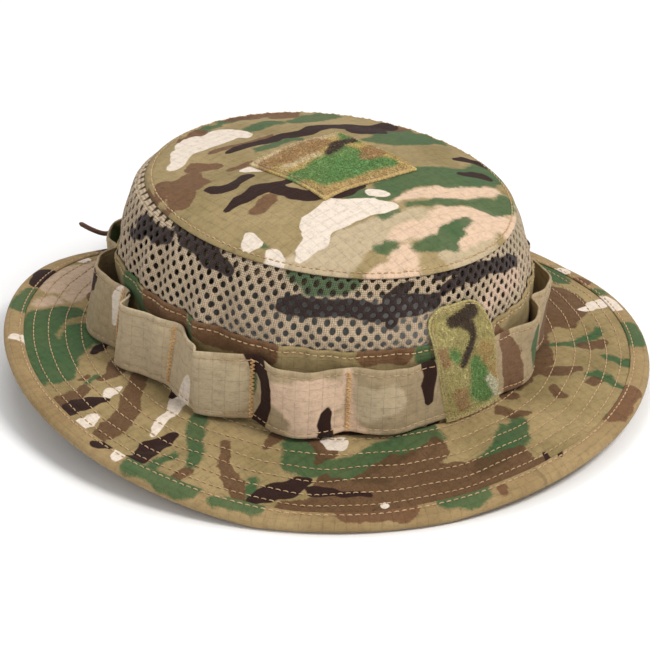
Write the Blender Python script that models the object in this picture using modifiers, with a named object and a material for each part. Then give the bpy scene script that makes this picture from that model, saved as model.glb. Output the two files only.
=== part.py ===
"""Boonie hat: a soft crown with a mesh wall, a quilted brim with a bound edge, a foliage band,
two loop-pile patches, and a size-adjusting drawcord with a spring cord lock at the back.

Metres, +Z up. The front of the hat is -Y. The hat stands on its brim at Z = 0.
An angle t runs round the hat from the front (0) over +X (90 degrees) to the back (180).
"""
import math

import bmesh
import bpy
from mathutils import Matrix, Vector

# ---------------------------------------------------------------- sizes, in metres
GAP = 0.0003            # air left between pieces that touch
SEG = 40                # facets round the hat
PLY = 0.0008            # one layer of ripstop

# crown
HEAD_A = 0.0970         # half the length of the crown at its foot, front to back
HEAD_B = 0.0920         # half the width of the crown at its foot
TOP_A = 0.0930          # half the length of the top panel
TOP_B = 0.0775          # half the width of the top panel
CROWN_H = 0.0770        # foot of the crown to the top seam
DOME_H = 0.0135         # rise of the top panel above its seam
LEAN_POWER = 4.0        # how late the wall starts to lean in
LIP_H = 0.0030          # turned-down edge of the top panel
BAND_H = 0.0435         # ripstop band at the foot of the wall
BAND_LAP = 0.0075       # how far the mesh runs down behind that band
TAPE_H = 0.0080         # binding tape inside the top seam
TAPE_T = 0.0006
SWEAT_H = 0.0320        # sweatband height
SWEAT_T = 0.0012

# brim
BRIM_A = 0.1535         # half the length over the brim
BRIM_B = 0.1555         # half the width over the brim
BRIM_CORE_T = 0.0010    # stiffening layer
BRIM_PLY_T = 0.0007
DROOP = 1.3             # how late the brim starts to fall
BRIM_LOW = 0.0115       # where the table stops the brim, under the crown's foot
BIND_W = 0.0095         # edge binding, seen from above
BIND_T = 0.0008
STITCH_ROWS = (0.07, 0.28, 0.46, 0.61, 0.77, 0.91)    # shares of the brim inside its binding
SEAM_IN = 0.0018        # from the binding's inner edge to its row of stitches
THREAD_W = 0.0008
THREAD_T = 0.0004

# foliage band
LOOP_LOW = 0.0045       # lower edge above the crown's foot
LOOP_H = 0.0320
LOOP_T = 0.0012
LOOP_BULGE_LOW = 0.0070
LOOP_BULGE_TOP = 0.0085
LOOP_TACKS = (14.0, 36.0, 62.0, 88.0, 112.0, 138.0, 164.0)   # degrees from the front
LOOP_END = 5.0          # where each half ends under the front patch
TACK_FLAT = 1.3         # degrees of strip held flat on each side of a bar tack
TACK_W = 0.0022
TACK_T = 0.0006

# patches
FRONT_W = 0.0330
FRONT_H = 0.0590
FRONT_R = 0.0120        # rounded upper corners
FRONT_T = 0.0018
FRONT_SHIFT = 0.0043    # its foot is sewn this far to one side
FRONT_LEAN = 0.0127     # and its top leans this far back to the other
TOP_PATCH = 0.0560
TOP_PATCH_T = 0.0018

# drawcord, eyelets and cord lock
CORD_D = 0.0024
CORD_H = 0.0175         # height of the cord above the crown's foot
EYELET_X = 0.0050       # half the distance between the eyelets
EYELET_D = 0.0080
EYELET_BORE = CORD_D + 2 * GAP
EYELET_WALL = 0.0005
EYELET_T = 0.0006
LOCK_Y = 0.1155         # centre of the lock at rest
LOCK_X = 0.0150
LOCK_L = 0.0130
LOCK_UP = 0.0060        # body above the cord
LOCK_DOWN = 0.0140      # body below the cord
LOCK_FLOOR = 0.0018
LOCK_ROUND = 0.0016
PLUNGER_D = 0.0090
PLUNGER_HEAD_D = 0.0105
PLUNGER_HEAD_H = 0.0030
PLUNGER_TRAVEL = 0.0035
PLUNGER_WEB = 0.0015    # under the plunger's slot
SPRING_WIRE = 0.0006
SPRING_TURNS = 4

# the brim is three layers between the binding's two faces
BRIM_HALF = BRIM_PLY_T + GAP + BRIM_CORE_T / 2
FOOT_Z = BRIM_LOW + BRIM_HALF + GAP + BIND_T        # the crown's foot above the table
CORD_R = CORD_D / 2
CHANNEL = CORD_D + 2.4 * GAP                        # room for the cord behind the band
BAND_IN = GAP                                       # offsets from the crown's own surface
BAND_OUT = GAP + PLY
SWEAT_OUT = BAND_IN - CHANNEL - GAP / 2
LANE = CORD_R + GAP / 2                             # each cord's distance from the middle


# ---------------------------------------------------------------- helpers
def clear_scene():
    for old in list(bpy.data.objects):
        bpy.data.objects.remove(old, do_unlink=True)


def material(name, colour, roughness, metallic=0.0):
    mat = bpy.data.materials.new(name)
    mat.use_nodes = True
    shader = mat.node_tree.nodes["Principled BSDF"]
    shader.inputs["Base Color"].default_value = (*colour, 1.0)
    shader.inputs["Roughness"].default_value = roughness
    shader.inputs["Metallic"].default_value = metallic
    return mat


def link(name, mesh, mat, collection=None):
    obj = bpy.data.objects.new(name, mesh)
    (collection or HAT).objects.link(obj)
    obj.data.materials.append(mat)
    return obj


def oval(a, b, t, off=0.0, z=0.0):
    """A point on an oval of half length a and half width b, moved out by off."""
    normal = Vector((a * math.sin(t), -b * math.cos(t), 0.0)).normalized()
    return Vector((b * math.sin(t), -a * math.cos(t), z)) + normal * off


def wall(t, h, off=0.0):
    """The outer surface of the crown wall at height h above its foot."""
    lean = (h / CROWN_H) ** LEAN_POWER if h > 0 else 0.0
    a = HEAD_A + (TOP_A - HEAD_A) * lean
    b = HEAD_B + (TOP_B - HEAD_B) * lean
    return oval(a, b, t, off, FOOT_Z + h)


def dome(t, rho, up=0.0):
    """The top panel: rho is 1 at its seam and 0 in the middle."""
    z = FOOT_Z + CROWN_H + DOME_H * (1.0 - rho * rho) + up
    return Vector((TOP_B * rho * math.sin(t), -TOP_A * rho * math.cos(t), z))


def edge_fall(t):
    """Height of the brim's edge over the crown's foot before the table stops it."""
    wave = -0.0047 - 0.0030 * math.cos(t) - 0.0060 * math.sin(t) + 0.0055 * math.sin(2 * t)
    back = math.atan2(math.sin(t - math.pi), math.cos(t - math.pi))
    side = math.atan2(math.sin(t - 1.95), math.cos(t - 1.95))
    front = math.atan2(math.sin(t + 0.70), math.cos(t + 0.70))
    wave -= 0.0125 * math.exp(-((back / 0.42) ** 2))
    wave -= 0.0035 * math.exp(-((side / 0.45) ** 2))
    return wave - 0.0055 * math.exp(-((front / 0.45) ** 2))


BRIM_IN = BAND_OUT + GAP


def brim(t, s, up=0.0):
    """The brim's middle surface: s is 0 at the crown and 1 at the edge."""
    inner = oval(HEAD_A, HEAD_B, t, BRIM_IN)
    outer = oval(BRIM_A, BRIM_B, t)
    point = inner.lerp(outer, s)
    fall = edge_fall(t) * s ** DROOP
    point.z = FOOT_Z + max(fall, -BRIM_LOW) + up
    return point


def brim_width(t):
    return (oval(BRIM_A, BRIM_B, t) - oval(HEAD_A, HEAD_B, t, BRIM_IN)).length


def angles(count=SEG):
    return [2 * math.pi * i / count for i in range(count)]


def ring_mesh(name, rings, around=False, tip=None):
    """Faces between rings of equal count; around also joins the last ring to the first.

    A closed section is cut into triangles the same way whichever way it runs, so that the
    facing surfaces of two layers bend along the same lines.
    """
    bm = bmesh.new()
    rows = [[bm.verts.new(p) for p in ring] for ring in rings]
    count = len(rows[0])
    pairs = list(zip(rows, rows[1:]))
    if around:
        pairs.append((rows[-1], rows[0]))
    for low, high in pairs:
        for j in range(count):
            k = (j + 1) % count
            if not around:
                bm.faces.new((low[j], low[k], high[k], high[j]))
            elif low[j].co.xy.length > high[j].co.xy.length:
                bm.faces.new((low[j], low[k], high[k]))
                bm.faces.new((low[j], high[k], high[j]))
            else:
                bm.faces.new((low[j], low[k], high[j]))
                bm.faces.new((low[k], high[k], high[j]))
    if tip is not None:
        centre = bm.verts.new(tip)
        for j in range(count):
            bm.faces.new((rows[-1][j], rows[-1][(j + 1) % count], centre))
    if around:
        bmesh.ops.recalc_face_normals(bm, faces=bm.faces)
    mesh = bpy.data.meshes.new(name)
    bm.to_mesh(mesh)
    bm.free()
    return mesh


def sheet_mesh(name, grid):
    """An open sheet from rows of points."""
    bm = bmesh.new()
    rows = [[bm.verts.new(p) for p in row] for row in grid]
    for low, high in zip(rows, rows[1:]):
        for j in range(len(low) - 1):
            bm.faces.new((low[j], low[j + 1], high[j + 1], high[j]))
    mesh = bpy.data.meshes.new(name)
    bm.to_mesh(mesh)
    bm.free()
    return mesh


def thicken(obj, thickness, outward=False):
    mod = obj.modifiers.new("Cloth", "SOLIDIFY")
    mod.thickness = thickness
    mod.offset = 1.0 if outward else -1.0
    mod.use_even_offset = True
    return obj


def wall_ring(name, heights, off, thickness, mat):
    rings = [[wall(t, h, off) for t in angles()] for h in heights]
    return thicken(link(name, ring_mesh(name, rings), mat), thickness)


def thread_ring(name, place, mat):
    """A flat ring of thread. place(t, across, up) gives a point of its section."""
    w, h = THREAD_W / 2, THREAD_T
    rings = [[place(t, across, up) for t in angles()]
             for across, up in ((w, 0.0), (w, h), (-w, h), (-w, 0.0))]
    return link(name, ring_mesh(name, rings, around=True), mat)


def smooth_route(points, step):
    """Points every step along a smooth curve through the given points."""
    ends = [points[0] * 2 - points[1]] + list(points) + [points[-1] * 2 - points[-2]]
    fine = []
    for p0, p1, p2, p3 in zip(ends, ends[1:], ends[2:], ends[3:]):
        for i in range(24):
            u = i / 24
            fine.append(0.5 * (2 * p1 + (p2 - p0) * u + (2 * p0 - 5 * p1 + 4 * p2 - p3) * u ** 2
                               + (3 * p1 - p0 - 3 * p2 + p3) * u ** 3))
    fine.append(points[-1].copy())
    length = [0.0]
    for p, q in zip(fine, fine[1:]):
        length.append(length[-1] + (q - p).length)
    count = max(2, round(length[-1] / step))
    route, i = [], 0
    for n in range(count + 1):
        target = length[-1] * n / count
        while i < len(length) - 2 and length[i + 1] < target:
            i += 1
        u = (target - length[i]) / (length[i + 1] - length[i])
        route.append(fine[i].lerp(fine[i + 1], min(max(u, 0.0), 1.0)))
    return route


def tube(name, route, diameter, mat, resolution=2, cyclic=False):
    curve = bpy.data.curves.new(name, "CURVE")
    curve.dimensions = "3D"
    curve.bevel_depth = diameter / 2
    curve.bevel_resolution = resolution
    curve.use_fill_caps = True
    spline = curve.splines.new("POLY")
    spline.points.add(len(route) - 1)
    for point, place in zip(spline.points, route):
        point.co = (*place, 1.0)
    spline.use_cyclic_u = cyclic
    return link(name, curve, mat)


def turned(name, profile, mat, steps=32):
    """A profile in X and Z, top to bottom along its outer side, turned about Z."""
    bm = bmesh.new()
    verts = [bm.verts.new((x, 0.0, z)) for x, z in profile]
    for a, b in zip(verts, verts[1:]):
        bm.edges.new((a, b))
    mesh = bpy.data.meshes.new(name)
    bm.to_mesh(mesh)
    bm.free()
    obj = link(name, mesh, mat)
    mod = obj.modifiers.new("Turn", "SCREW")
    mod.axis = "Z"
    mod.steps = steps
    mod.render_steps = steps
    mod.use_merge_vertices = True
    mod.merge_threshold = 0.00001
    mod.use_normal_calculate = False
    return obj


def cutter(name, mesh_maker):
    mesh = bpy.data.meshes.new(name)
    bm = bmesh.new()
    mesh_maker(bm)
    bmesh.ops.recalc_face_normals(bm, faces=bm.faces)
    bm.to_mesh(mesh)
    bm.free()
    obj = bpy.data.objects.new(name, mesh)
    CUTTERS.objects.link(obj)
    obj.hide_render = True
    obj.display_type = "WIRE"
    return obj


def cut(obj, tool):
    mod = obj.modifiers.new("Cut", "BOOLEAN")
    mod.operation = "DIFFERENCE"
    mod.solver = "EXACT"
    mod.object = tool


def box(bm, size, centre):
    bmesh.ops.create_cube(bm, size=1.0,
                          matrix=Matrix.Translation(centre) @ Matrix.Diagonal((*size, 1.0)))


def rod(bm, radius, length, matrix, segments=32):
    bmesh.ops.create_cone(bm, cap_ends=True, segments=segments, radius1=radius,
                          radius2=radius, depth=length, matrix=matrix)


# ---------------------------------------------------------------- scene
clear_scene()
HAT = bpy.data.collections.new("boonie_hat")
CUTTERS = bpy.data.collections.new("cutters")
bpy.context.scene.collection.children.link(HAT)
bpy.context.scene.collection.children.link(CUTTERS)

RIPSTOP = material("ripstop_camouflage", (0.38, 0.30, 0.16), 0.85)
MESH_CLOTH = material("mesh_fabric", (0.48, 0.40, 0.27), 0.9)
WEB = material("foliage_webbing", (0.50, 0.44, 0.31), 0.85)
LINING = material("lining", (0.33, 0.28, 0.18), 0.9)
CORE = material("interlining", (0.75, 0.72, 0.66), 0.9)
PILE = material("loop_pile", (0.30, 0.33, 0.14), 0.95)
THREAD = material("thread", (0.50, 0.32, 0.17), 0.7)
ELASTIC = material("drawcord_brown", (0.16, 0.07, 0.04), 0.7)
METAL = material("eyelet_metal", (0.10, 0.08, 0.06), 0.4, 1.0)
PLASTIC = material("lock_plastic", (0.16, 0.10, 0.06), 0.45)
STEEL = material("spring_steel", (0.55, 0.55, 0.55), 0.3, 1.0)

# ---------------------------------------------------------------- crown
# Top panel: a shallow dome whose edge turns down over the head of the wall.
lip = [[wall(t, CROWN_H - LIP_H, GAP + PLY) for t in angles()],
       [wall(t, CROWN_H, GAP + PLY) for t in angles()]]
shell = [[dome(t, rho, PLY + GAP) for t in angles()] for rho in (0.985, 0.80, 0.55, 0.28)]
crown_top = link("crown_top", ring_mesh("crown_top", lip + shell, tip=dome(0.0, 0.0, PLY + GAP)),
                 RIPSTOP)
thicken(crown_top, PLY)

# Mesh wall: from behind the band up to just under the top panel.
MESH_LOW = BAND_H - BAND_LAP
MESH_TOP = CROWN_H - 2 * GAP
mesh_steps = [MESH_LOW + (MESH_TOP - MESH_LOW) * i / 4 for i in range(5)]
wall_ring("crown_mesh", mesh_steps, 0.0, PLY, MESH_CLOTH)

# Tape that binds the top seam on the inside.
TAPE_TOP = MESH_TOP - 0.0020
wall_ring("crown_seam_tape", (TAPE_TOP - TAPE_H, TAPE_TOP),
          -1.4 * PLY - 3 * GAP, TAPE_T, LINING)

# Band of ripstop round the foot of the wall, pierced at the back for the two eyelets.
band = wall_ring("base_band", (-0.0020, MESH_LOW / 2, MESH_LOW, BAND_H), BAND_OUT, PLY, RIPSTOP)

# Sweatband on the inside, standing off by the drawcord's channel.
wall_ring("sweatband", (-0.0020, SWEAT_H), SWEAT_OUT, SWEAT_T, LINING)

# Rows of stitches on the top panel's edge and on the band's upper edge.
thread_ring("crown_top_stitch",
            lambda t, across, up: dome(t, 0.965 + across / TOP_B, PLY + 2 * GAP + up), THREAD)
thread_ring("base_band_stitch",
            lambda t, across, up: wall(t, BAND_H - 0.0022 + across, BAND_OUT + GAP + up), THREAD)

# ---------------------------------------------------------------- brim
# Two plies of ripstop with a stiffening layer between them; they end inside the binding.
LAYER_EDGE = BIND_T + 4 * GAP


def brim_layer(name, top, low, mat):
    """A layer between two heights over the brim's middle surface."""
    def lines(up):
        outer = [[brim(t, 1.0 - back / brim_width(t), up) for t in angles()]
                 for back in (LAYER_EDGE, BIND_W / 2, BIND_W)]
        inner = [[brim(t, share * (1.0 - BIND_W / brim_width(t)), up) for t in angles()]
                 for share in (STITCH_ROWS[5], STITCH_ROWS[4], STITCH_ROWS[2], 0.0)]
        return outer + inner
    rings = lines(top) + list(reversed(lines(low)))
    return link(name, ring_mesh(name, rings, around=True), mat)


brim_layer("brim_top_ply", BRIM_HALF, BRIM_HALF - BRIM_PLY_T, RIPSTOP)
brim_layer("brim_core", BRIM_CORE_T / 2, -BRIM_CORE_T / 2, CORE)
brim_layer("brim_under_ply", BRIM_PLY_T - BRIM_HALF, -BRIM_HALF, RIPSTOP)

# Binding: one folded tape round the edge, a U in section, open towards the crown.
FACE = BRIM_HALF + GAP
binding_section = [
    (BIND_W, FACE), (BIND_W, FACE + BIND_T), (BIND_W - SEAM_IN, FACE + BIND_T),
    (BIND_W / 2, FACE + BIND_T),
    (BIND_T * 1.6, FACE + BIND_T), (0.0, FACE / 2), (0.0, -FACE / 2),
    (BIND_T * 1.6, -FACE - BIND_T), (BIND_W / 2, -FACE - BIND_T), (BIND_W, -FACE - BIND_T),
    (BIND_W, -FACE), (BIND_W / 2, -FACE), (BIND_T * 2.0, -FACE),
    (BIND_T, -FACE / 3), (BIND_T, FACE / 3), (BIND_T * 2.0, FACE), (BIND_W / 2, FACE)]
binding_rings = [[brim(t, 1.0 - back / brim_width(t), up) for t in angles()]
                 for back, up in binding_section]
link("brim_binding", ring_mesh("brim_binding", binding_rings, around=True), RIPSTOP)

# Quilting rows, and the row that holds the binding.
for number, share in enumerate(STITCH_ROWS, 1):
    thread_ring(f"brim_stitch_{number}",
                lambda t, across, up, share=share: brim(
                    t, share * (1.0 - BIND_W / brim_width(t)) + across / brim_width(t),
                    BRIM_HALF + GAP + up), THREAD)
thread_ring("binding_stitch",
            lambda t, across, up: brim(t, 1.0 - (BIND_W - SEAM_IN - across) / brim_width(t),
                                       FACE + BIND_T + GAP + up), THREAD)

# ---------------------------------------------------------------- foliage band
# Each half is one strip. It lies on the band at its bar tacks and stands off between them.
STRIP_IN = BAND_OUT + GAP
STRIP_OUT = STRIP_IN + LOOP_T


def strip_offset(degrees, share):
    """How far the strip's inner face stands off at an angle; share is 0 low and 1 high."""
    if degrees <= LOOP_TACKS[0]:
        return STRIP_IN
    for first, last in zip(LOOP_TACKS, LOOP_TACKS[1:]):
        if degrees <= last:
            run = (degrees - first - TACK_FLAT) / (last - first - 2 * TACK_FLAT)
            bulge = LOOP_BULGE_LOW + (LOOP_BULGE_TOP - LOOP_BULGE_LOW) * share
            return STRIP_IN + bulge * math.sin(math.pi * min(max(run, 0.0), 1.0)) ** 0.7
    return STRIP_IN


def strip_columns():
    columns = [LOOP_END, (LOOP_END + LOOP_TACKS[0]) / 2]
    for first, last in zip(LOOP_TACKS, LOOP_TACKS[1:]):
        columns += [first - TACK_FLAT, first + TACK_FLAT]
        columns += [first + (last - first) * u for u in (0.18, 0.33, 0.5, 0.67, 0.82)]
    return columns + [LOOP_TACKS[-1] - TACK_FLAT, LOOP_TACKS[-1] + TACK_FLAT]


for side, sign in (("left", -1.0), ("right", 1.0)):
    columns = strip_columns()
    if sign < 0:
        columns.reverse()
    grid = [[wall(math.radians(sign * c), LOOP_LOW + LOOP_H * share, strip_offset(c, share))
             for c in columns] for share in (0.0, 1.0)]
    strip = link(f"foliage_band_{side}", sheet_mesh(f"foliage_band_{side}", grid), WEB)
    thicken(strip, LOOP_T, outward=True)
    for number, tack in enumerate(LOOP_TACKS[1:], 1):
        t = math.radians(sign * tack)
        middle = wall(t, LOOP_LOW + LOOP_H / 2, STRIP_OUT + 2 * GAP + TACK_T / 2)
        mesh = bpy.data.meshes.new("bar_tack")
        bm = bmesh.new()
        box(bm, (TACK_W, TACK_T, LOOP_H - 0.0030), (0.0, 0.0, 0.0))
        bm.to_mesh(mesh)
        bm.free()
        tack_obj = link(f"bar_tack_{side}_{number}", mesh, THREAD)
        facing = oval(HEAD_A, HEAD_B, t, 1.0) - oval(HEAD_A, HEAD_B, t)
        tack_obj.location = middle
        tack_obj.rotation_euler = (0.0, 0.0, math.atan2(facing.x, -facing.y))

# ---------------------------------------------------------------- patches
# Front patch: over the band and the ends of the foliage band, on to the mesh above.
FRONT_LOW = BRIM_HALF + 2 * GAP
STEP_LOW = BAND_H + 0.0010
STEP_HIGH = BAND_H + 0.0060
front_rows = (0.0, 0.36, (STEP_LOW - FRONT_LOW) / FRONT_H, (STEP_HIGH - FRONT_LOW) / FRONT_H,
              0.88, 0.94, 0.98, 1.0)


def front_patch_row(share):
    h = FRONT_LOW + FRONT_H * share
    over = min(max((h - STEP_LOW) / (STEP_HIGH - STEP_LOW), 0.0), 1.0)
    off = (STRIP_OUT + GAP) * (1.0 - over) + 2 * GAP * over
    if h > FRONT_LOW + FRONT_H - FRONT_R:
        rise = h - (FRONT_LOW + FRONT_H - FRONT_R)
        half = FRONT_W / 2 - FRONT_R + math.sqrt(max(FRONT_R ** 2 - rise ** 2, 0.0))
    else:
        half = FRONT_W / 2
    middle = FRONT_SHIFT - FRONT_LEAN * share
    return [wall((middle + half * u) / HEAD_B, h, off)
            for u in (-1, -0.66, -0.33, 0, 0.33, 0.66, 1)]


front_patch = link("front_patch",
                   sheet_mesh("front_patch", [front_patch_row(s) for s in front_rows]), PILE)
thicken(front_patch, FRONT_T, outward=True)

# Top patch: a square on the middle of the dome.
steps = [TOP_PATCH * (i / 5 - 0.5) for i in range(6)]
top_grid = [[Vector((x, y, dome(0.0, math.hypot(x / TOP_B, y / TOP_A), PLY + 2 * GAP).z))
             for x in steps] for y in steps]
thicken(link("top_patch", sheet_mesh("top_patch", top_grid), PILE), TOP_PATCH_T, outward=True)

# ---------------------------------------------------------------- eyelets
# Each eyelet is a flange on the band with a short barrel through it.
BARREL_R = EYELET_BORE / 2 + EYELET_WALL
EYELET_T_ANGLE = math.asin(EYELET_X / HEAD_B)
cord_z = FOOT_Z + CORD_H
for side, sign in (("left", -1.0), ("right", 1.0)):
    t = math.pi - sign * EYELET_T_ANGLE
    facing = (oval(HEAD_A, HEAD_B, t, 1.0) - oval(HEAD_A, HEAD_B, t)).normalized()
    turn = facing.to_track_quat("Z", "Y")
    seat = wall(t, CORD_H)
    hole = cutter(f"eyelet_hole_{side}",
                  lambda bm: rod(bm, BARREL_R + GAP, 0.012, Matrix.Identity(4), 24))
    hole.matrix_world = Matrix.Translation(seat) @ turn.to_matrix().to_4x4()
    cut(band, hole)
    face = BAND_OUT + GAP
    r = EYELET_BORE / 2
    eyelet = turned(f"cord_eyelet_{side}",
                    [(r + 0.0002, face + EYELET_T), (EYELET_D / 2 - 0.0003, face + EYELET_T),
                     (EYELET_D / 2, face + EYELET_T * 0.6), (EYELET_D / 2, face),
                     (BARREL_R, face), (BARREL_R, BAND_IN), (r, BAND_IN),
                     (r, face + EYELET_T * 0.6), (r + 0.0002, face + EYELET_T)], METAL, 24)
    eyelet.location = seat
    eyelet.rotation_euler = turn.to_euler()

# ---------------------------------------------------------------- drawcord
# In its channel the cord runs round the head from one eyelet to the other.
bend = CORD_D * 0.62
lane_off = BAND_IN - GAP * 1.7 - CORD_R
route = []
for side in (1.0, -1.0):
    t0 = math.pi - side * EYELET_T_ANGLE
    facing = (oval(HEAD_A, HEAD_B, t0, 1.0) - oval(HEAD_A, HEAD_B, t0)).normalized()
    along = Vector((0, 0, 1)).cross(facing) * -side
    foot = wall(t0, CORD_H, lane_off)
    turned_in = [foot + facing * (CHANNEL * 0.5 + PLY * 0.3)]
    for k in range(5):
        u = math.pi / 2 * k / 4
        turned_in.append(foot + facing * bend * (1 - math.sin(u)) + along * bend * (1 - math.cos(u)))
    if side > 0:
        route += turned_in
        start = t0 - 3.2 * bend / HEAD_B
        finish = -math.pi + EYELET_T_ANGLE + 3.2 * bend / HEAD_B
        route += [wall(start + (finish - start) * n / 52, CORD_H, lane_off) for n in range(53)]
    else:
        route += reversed(turned_in)
tube("drawcord_channel", route, CORD_D, ELASTIC)

# Each tail leaves its eyelet and runs straight through the lock. The left one sticks out past
# the foliage band and the right one lies on the brim.
TAIL_LEFT = ((-0.0044, 0.1022, 0.0000), (-0.0024, 0.1050, 0.0000))
TAIL_LEFT_END = ((-0.0040, 0.1450, -0.0010), (-0.0105, 0.1455, -0.0051),
                 (-0.0185, 0.1415, -0.0078), (-0.0280, 0.1360, -0.0076),
                 (-0.0375, 0.1322, -0.0048), (-0.0440, 0.1335, -0.0013), (-0.0492, 0.1375, 0.0025))
TAIL_RIGHT_END = ((0.0040, 0.1450, -0.0020), (0.0100, 0.1465, -0.0081),
                  (0.0175, 0.1450, -0.0151), (0.0250, 0.1425, -0.0211),
                  (0.0330, 0.1378, -0.0236), (0.0405, 0.1355, -0.0240), (0.0475, 0.1330, -0.0240))
for side, sign, tail_end in (("left", -1.0, TAIL_LEFT_END), ("right", 1.0, TAIL_RIGHT_END)):
    t = math.pi - sign * EYELET_T_ANGLE
    facing = (oval(HEAD_A, HEAD_B, t, 1.0) - oval(HEAD_A, HEAD_B, t)).normalized()
    seat = wall(t, CORD_H)
    points = [seat + facing * (BAND_OUT + GAP), seat + facing * (BAND_OUT + 0.0022)]
    points += [Vector((-sign * x, y, cord_z + z)) for x, y, z in TAIL_LEFT]
    points += [Vector((sign * LANE, LOCK_Y - LOCK_L / 2 - 0.0020, cord_z)),
               Vector((sign * LANE, LOCK_Y, cord_z)),
               Vector((sign * LANE, LOCK_Y + LOCK_L, cord_z)),
               Vector((sign * LANE, LOCK_Y + LOCK_L + 0.0100, cord_z)),
               Vector((sign * LANE, LOCK_Y + LOCK_L + 0.0130, cord_z))]
    points += [Vector((x, y, cord_z + z)) for x, y, z in tail_end]
    tube(f"drawcord_tail_{side}", smooth_route(points, CORD_D * 1.6), CORD_D, ELASTIC)

# ---------------------------------------------------------------- cord lock
# Body: a rounded block with a well for the plunger and a slot for both cords.
lock_axis = bpy.data.objects.new("cord_lock_axis", None)
HAT.objects.link(lock_axis)
lock_axis.location = (0.0, LOCK_Y, cord_z)
WELL_D = PLUNGER_D + 2 * GAP
SLOT_W = 2 * (LANE + CORD_R + GAP)
SLOT_H = CORD_D + 2 * GAP
mesh = bpy.data.meshes.new("cord_lock_body")
bm = bmesh.new()
box(bm, (LOCK_X, LOCK_L, LOCK_UP + LOCK_DOWN), (0.0, 0.0, (LOCK_UP - LOCK_DOWN) / 2))
bm.to_mesh(mesh)
bm.free()
lock_body = link("cord_lock_body", mesh, PLASTIC)
lock_body.parent = lock_axis
round_edges = lock_body.modifiers.new("Round", "BEVEL")
round_edges.width = LOCK_ROUND
round_edges.segments = 3
round_edges.limit_method = "ANGLE"
well_top = LOCK_UP + 0.002
well_low = -LOCK_DOWN + LOCK_FLOOR
well = cutter("lock_well", lambda bm: rod(bm, WELL_D / 2, well_top - well_low,
                                          Matrix.Translation((0, 0, (well_top + well_low) / 2))))
slot = cutter("lock_slot", lambda bm: box(bm, (SLOT_W, LOCK_L + 0.004, SLOT_H), (0, 0, 0)))
for tool in (well, slot):
    tool.parent = lock_axis
    cut(lock_body, tool)

# Plunger: a turned stem and head with a slot long enough for its travel.
STEM_LOW = -SLOT_H / 2 - PLUNGER_WEB
HEAD_LOW = LOCK_UP + PLUNGER_TRAVEL + 0.0006
HEAD_TOP = HEAD_LOW + PLUNGER_HEAD_H
PR, PH = PLUNGER_D / 2, PLUNGER_HEAD_D / 2
plunger = turned("cord_lock_plunger",
                 [(0.0, HEAD_TOP), (PH - 0.0018, HEAD_TOP), (PH - 0.0005, HEAD_TOP - 0.0005),
                  (PH, HEAD_TOP - 0.0014), (PH, HEAD_LOW), (PR, HEAD_LOW), (PR, STEM_LOW),
                  (0.0, STEM_LOW)], PLASTIC)
plunger.parent = lock_axis
plunger_slot = cutter("plunger_slot",
                      lambda bm: box(bm, (SLOT_W, PLUNGER_D + 0.004, SLOT_H + PLUNGER_TRAVEL),
                                     (0, 0, PLUNGER_TRAVEL / 2)))
plunger_slot.parent = lock_axis
cut(plunger, plunger_slot)

# Spring: a coil between the floor of the well and the plunger.
coil_low = well_low + GAP + SPRING_WIRE / 2
coil_high = STEM_LOW - GAP - SPRING_WIRE / 2
coil_r = PLUNGER_D / 2 - 0.0012
turns = SPRING_TURNS * 10
coil = [Vector((coil_r * math.cos(math.pi / 5 * n), coil_r * math.sin(math.pi / 5 * n),
                coil_low + (coil_high - coil_low) * n / turns)) for n in range(turns + 1)]
spring = tube("cord_lock_spring", coil, SPRING_WIRE, STEEL)
spring.parent = lock_axis

for obj in HAT.objects:
    if obj.type == "MESH":
        obj.data.shade_smooth()
        obj.data.set_sharp_from_angle(angle=math.radians(35))
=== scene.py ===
"""Boonie hat with a mesh crown wall, in camouflage ripstop, standing on its brim.

Metres, +Z up. The front is -Y. An angle t runs round the hat from the front, over +X, to the back.
"""
import math
import random

import bpy
import numpy as np
from mathutils import Matrix, Vector, noise


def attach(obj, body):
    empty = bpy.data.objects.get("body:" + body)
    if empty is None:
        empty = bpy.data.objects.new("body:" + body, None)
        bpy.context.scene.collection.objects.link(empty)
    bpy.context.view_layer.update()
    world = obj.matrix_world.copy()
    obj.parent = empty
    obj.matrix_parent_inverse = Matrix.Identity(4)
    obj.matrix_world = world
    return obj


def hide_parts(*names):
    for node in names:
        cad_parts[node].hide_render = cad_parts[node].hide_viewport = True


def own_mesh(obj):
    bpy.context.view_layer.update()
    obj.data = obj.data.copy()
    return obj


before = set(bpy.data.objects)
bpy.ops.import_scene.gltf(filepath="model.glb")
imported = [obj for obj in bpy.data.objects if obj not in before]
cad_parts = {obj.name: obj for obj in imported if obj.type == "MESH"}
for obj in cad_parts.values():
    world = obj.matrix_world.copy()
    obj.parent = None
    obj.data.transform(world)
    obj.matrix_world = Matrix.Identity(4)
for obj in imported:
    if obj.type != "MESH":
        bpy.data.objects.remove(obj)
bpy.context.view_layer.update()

# ------------------------------------------------------------------ studio
# The hat stands on a pale table under two large soft lights and a bright surround,
# seen from its front left corner, a little above, through a long lens.
scene = bpy.context.scene
scene.view_settings.view_transform = "Standard"

aim = Vector((-0.0085, -0.0075, 0.0255))
eye_turn, eye_rise, eye_far = -0.7035, 0.4803, 1.2450
back = Vector((math.sin(eye_turn) * math.cos(eye_rise),
               -math.cos(eye_turn) * math.cos(eye_rise), math.sin(eye_rise)))
camera_data = bpy.data.cameras.new("camera")
camera_data.lens = 144.9
camera = bpy.data.objects.new("camera", camera_data)
scene.collection.objects.link(camera)
camera.location = Vector((0.0, 0.0, 0.0441)) + back * eye_far
look = (camera.location - aim).to_track_quat("Z", "Y").to_matrix().to_4x4()
camera.matrix_world = (Matrix.Translation(camera.location) @ look
                       @ Matrix.Rotation(0.0272, 4, "Z"))
scene.camera = camera

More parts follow.
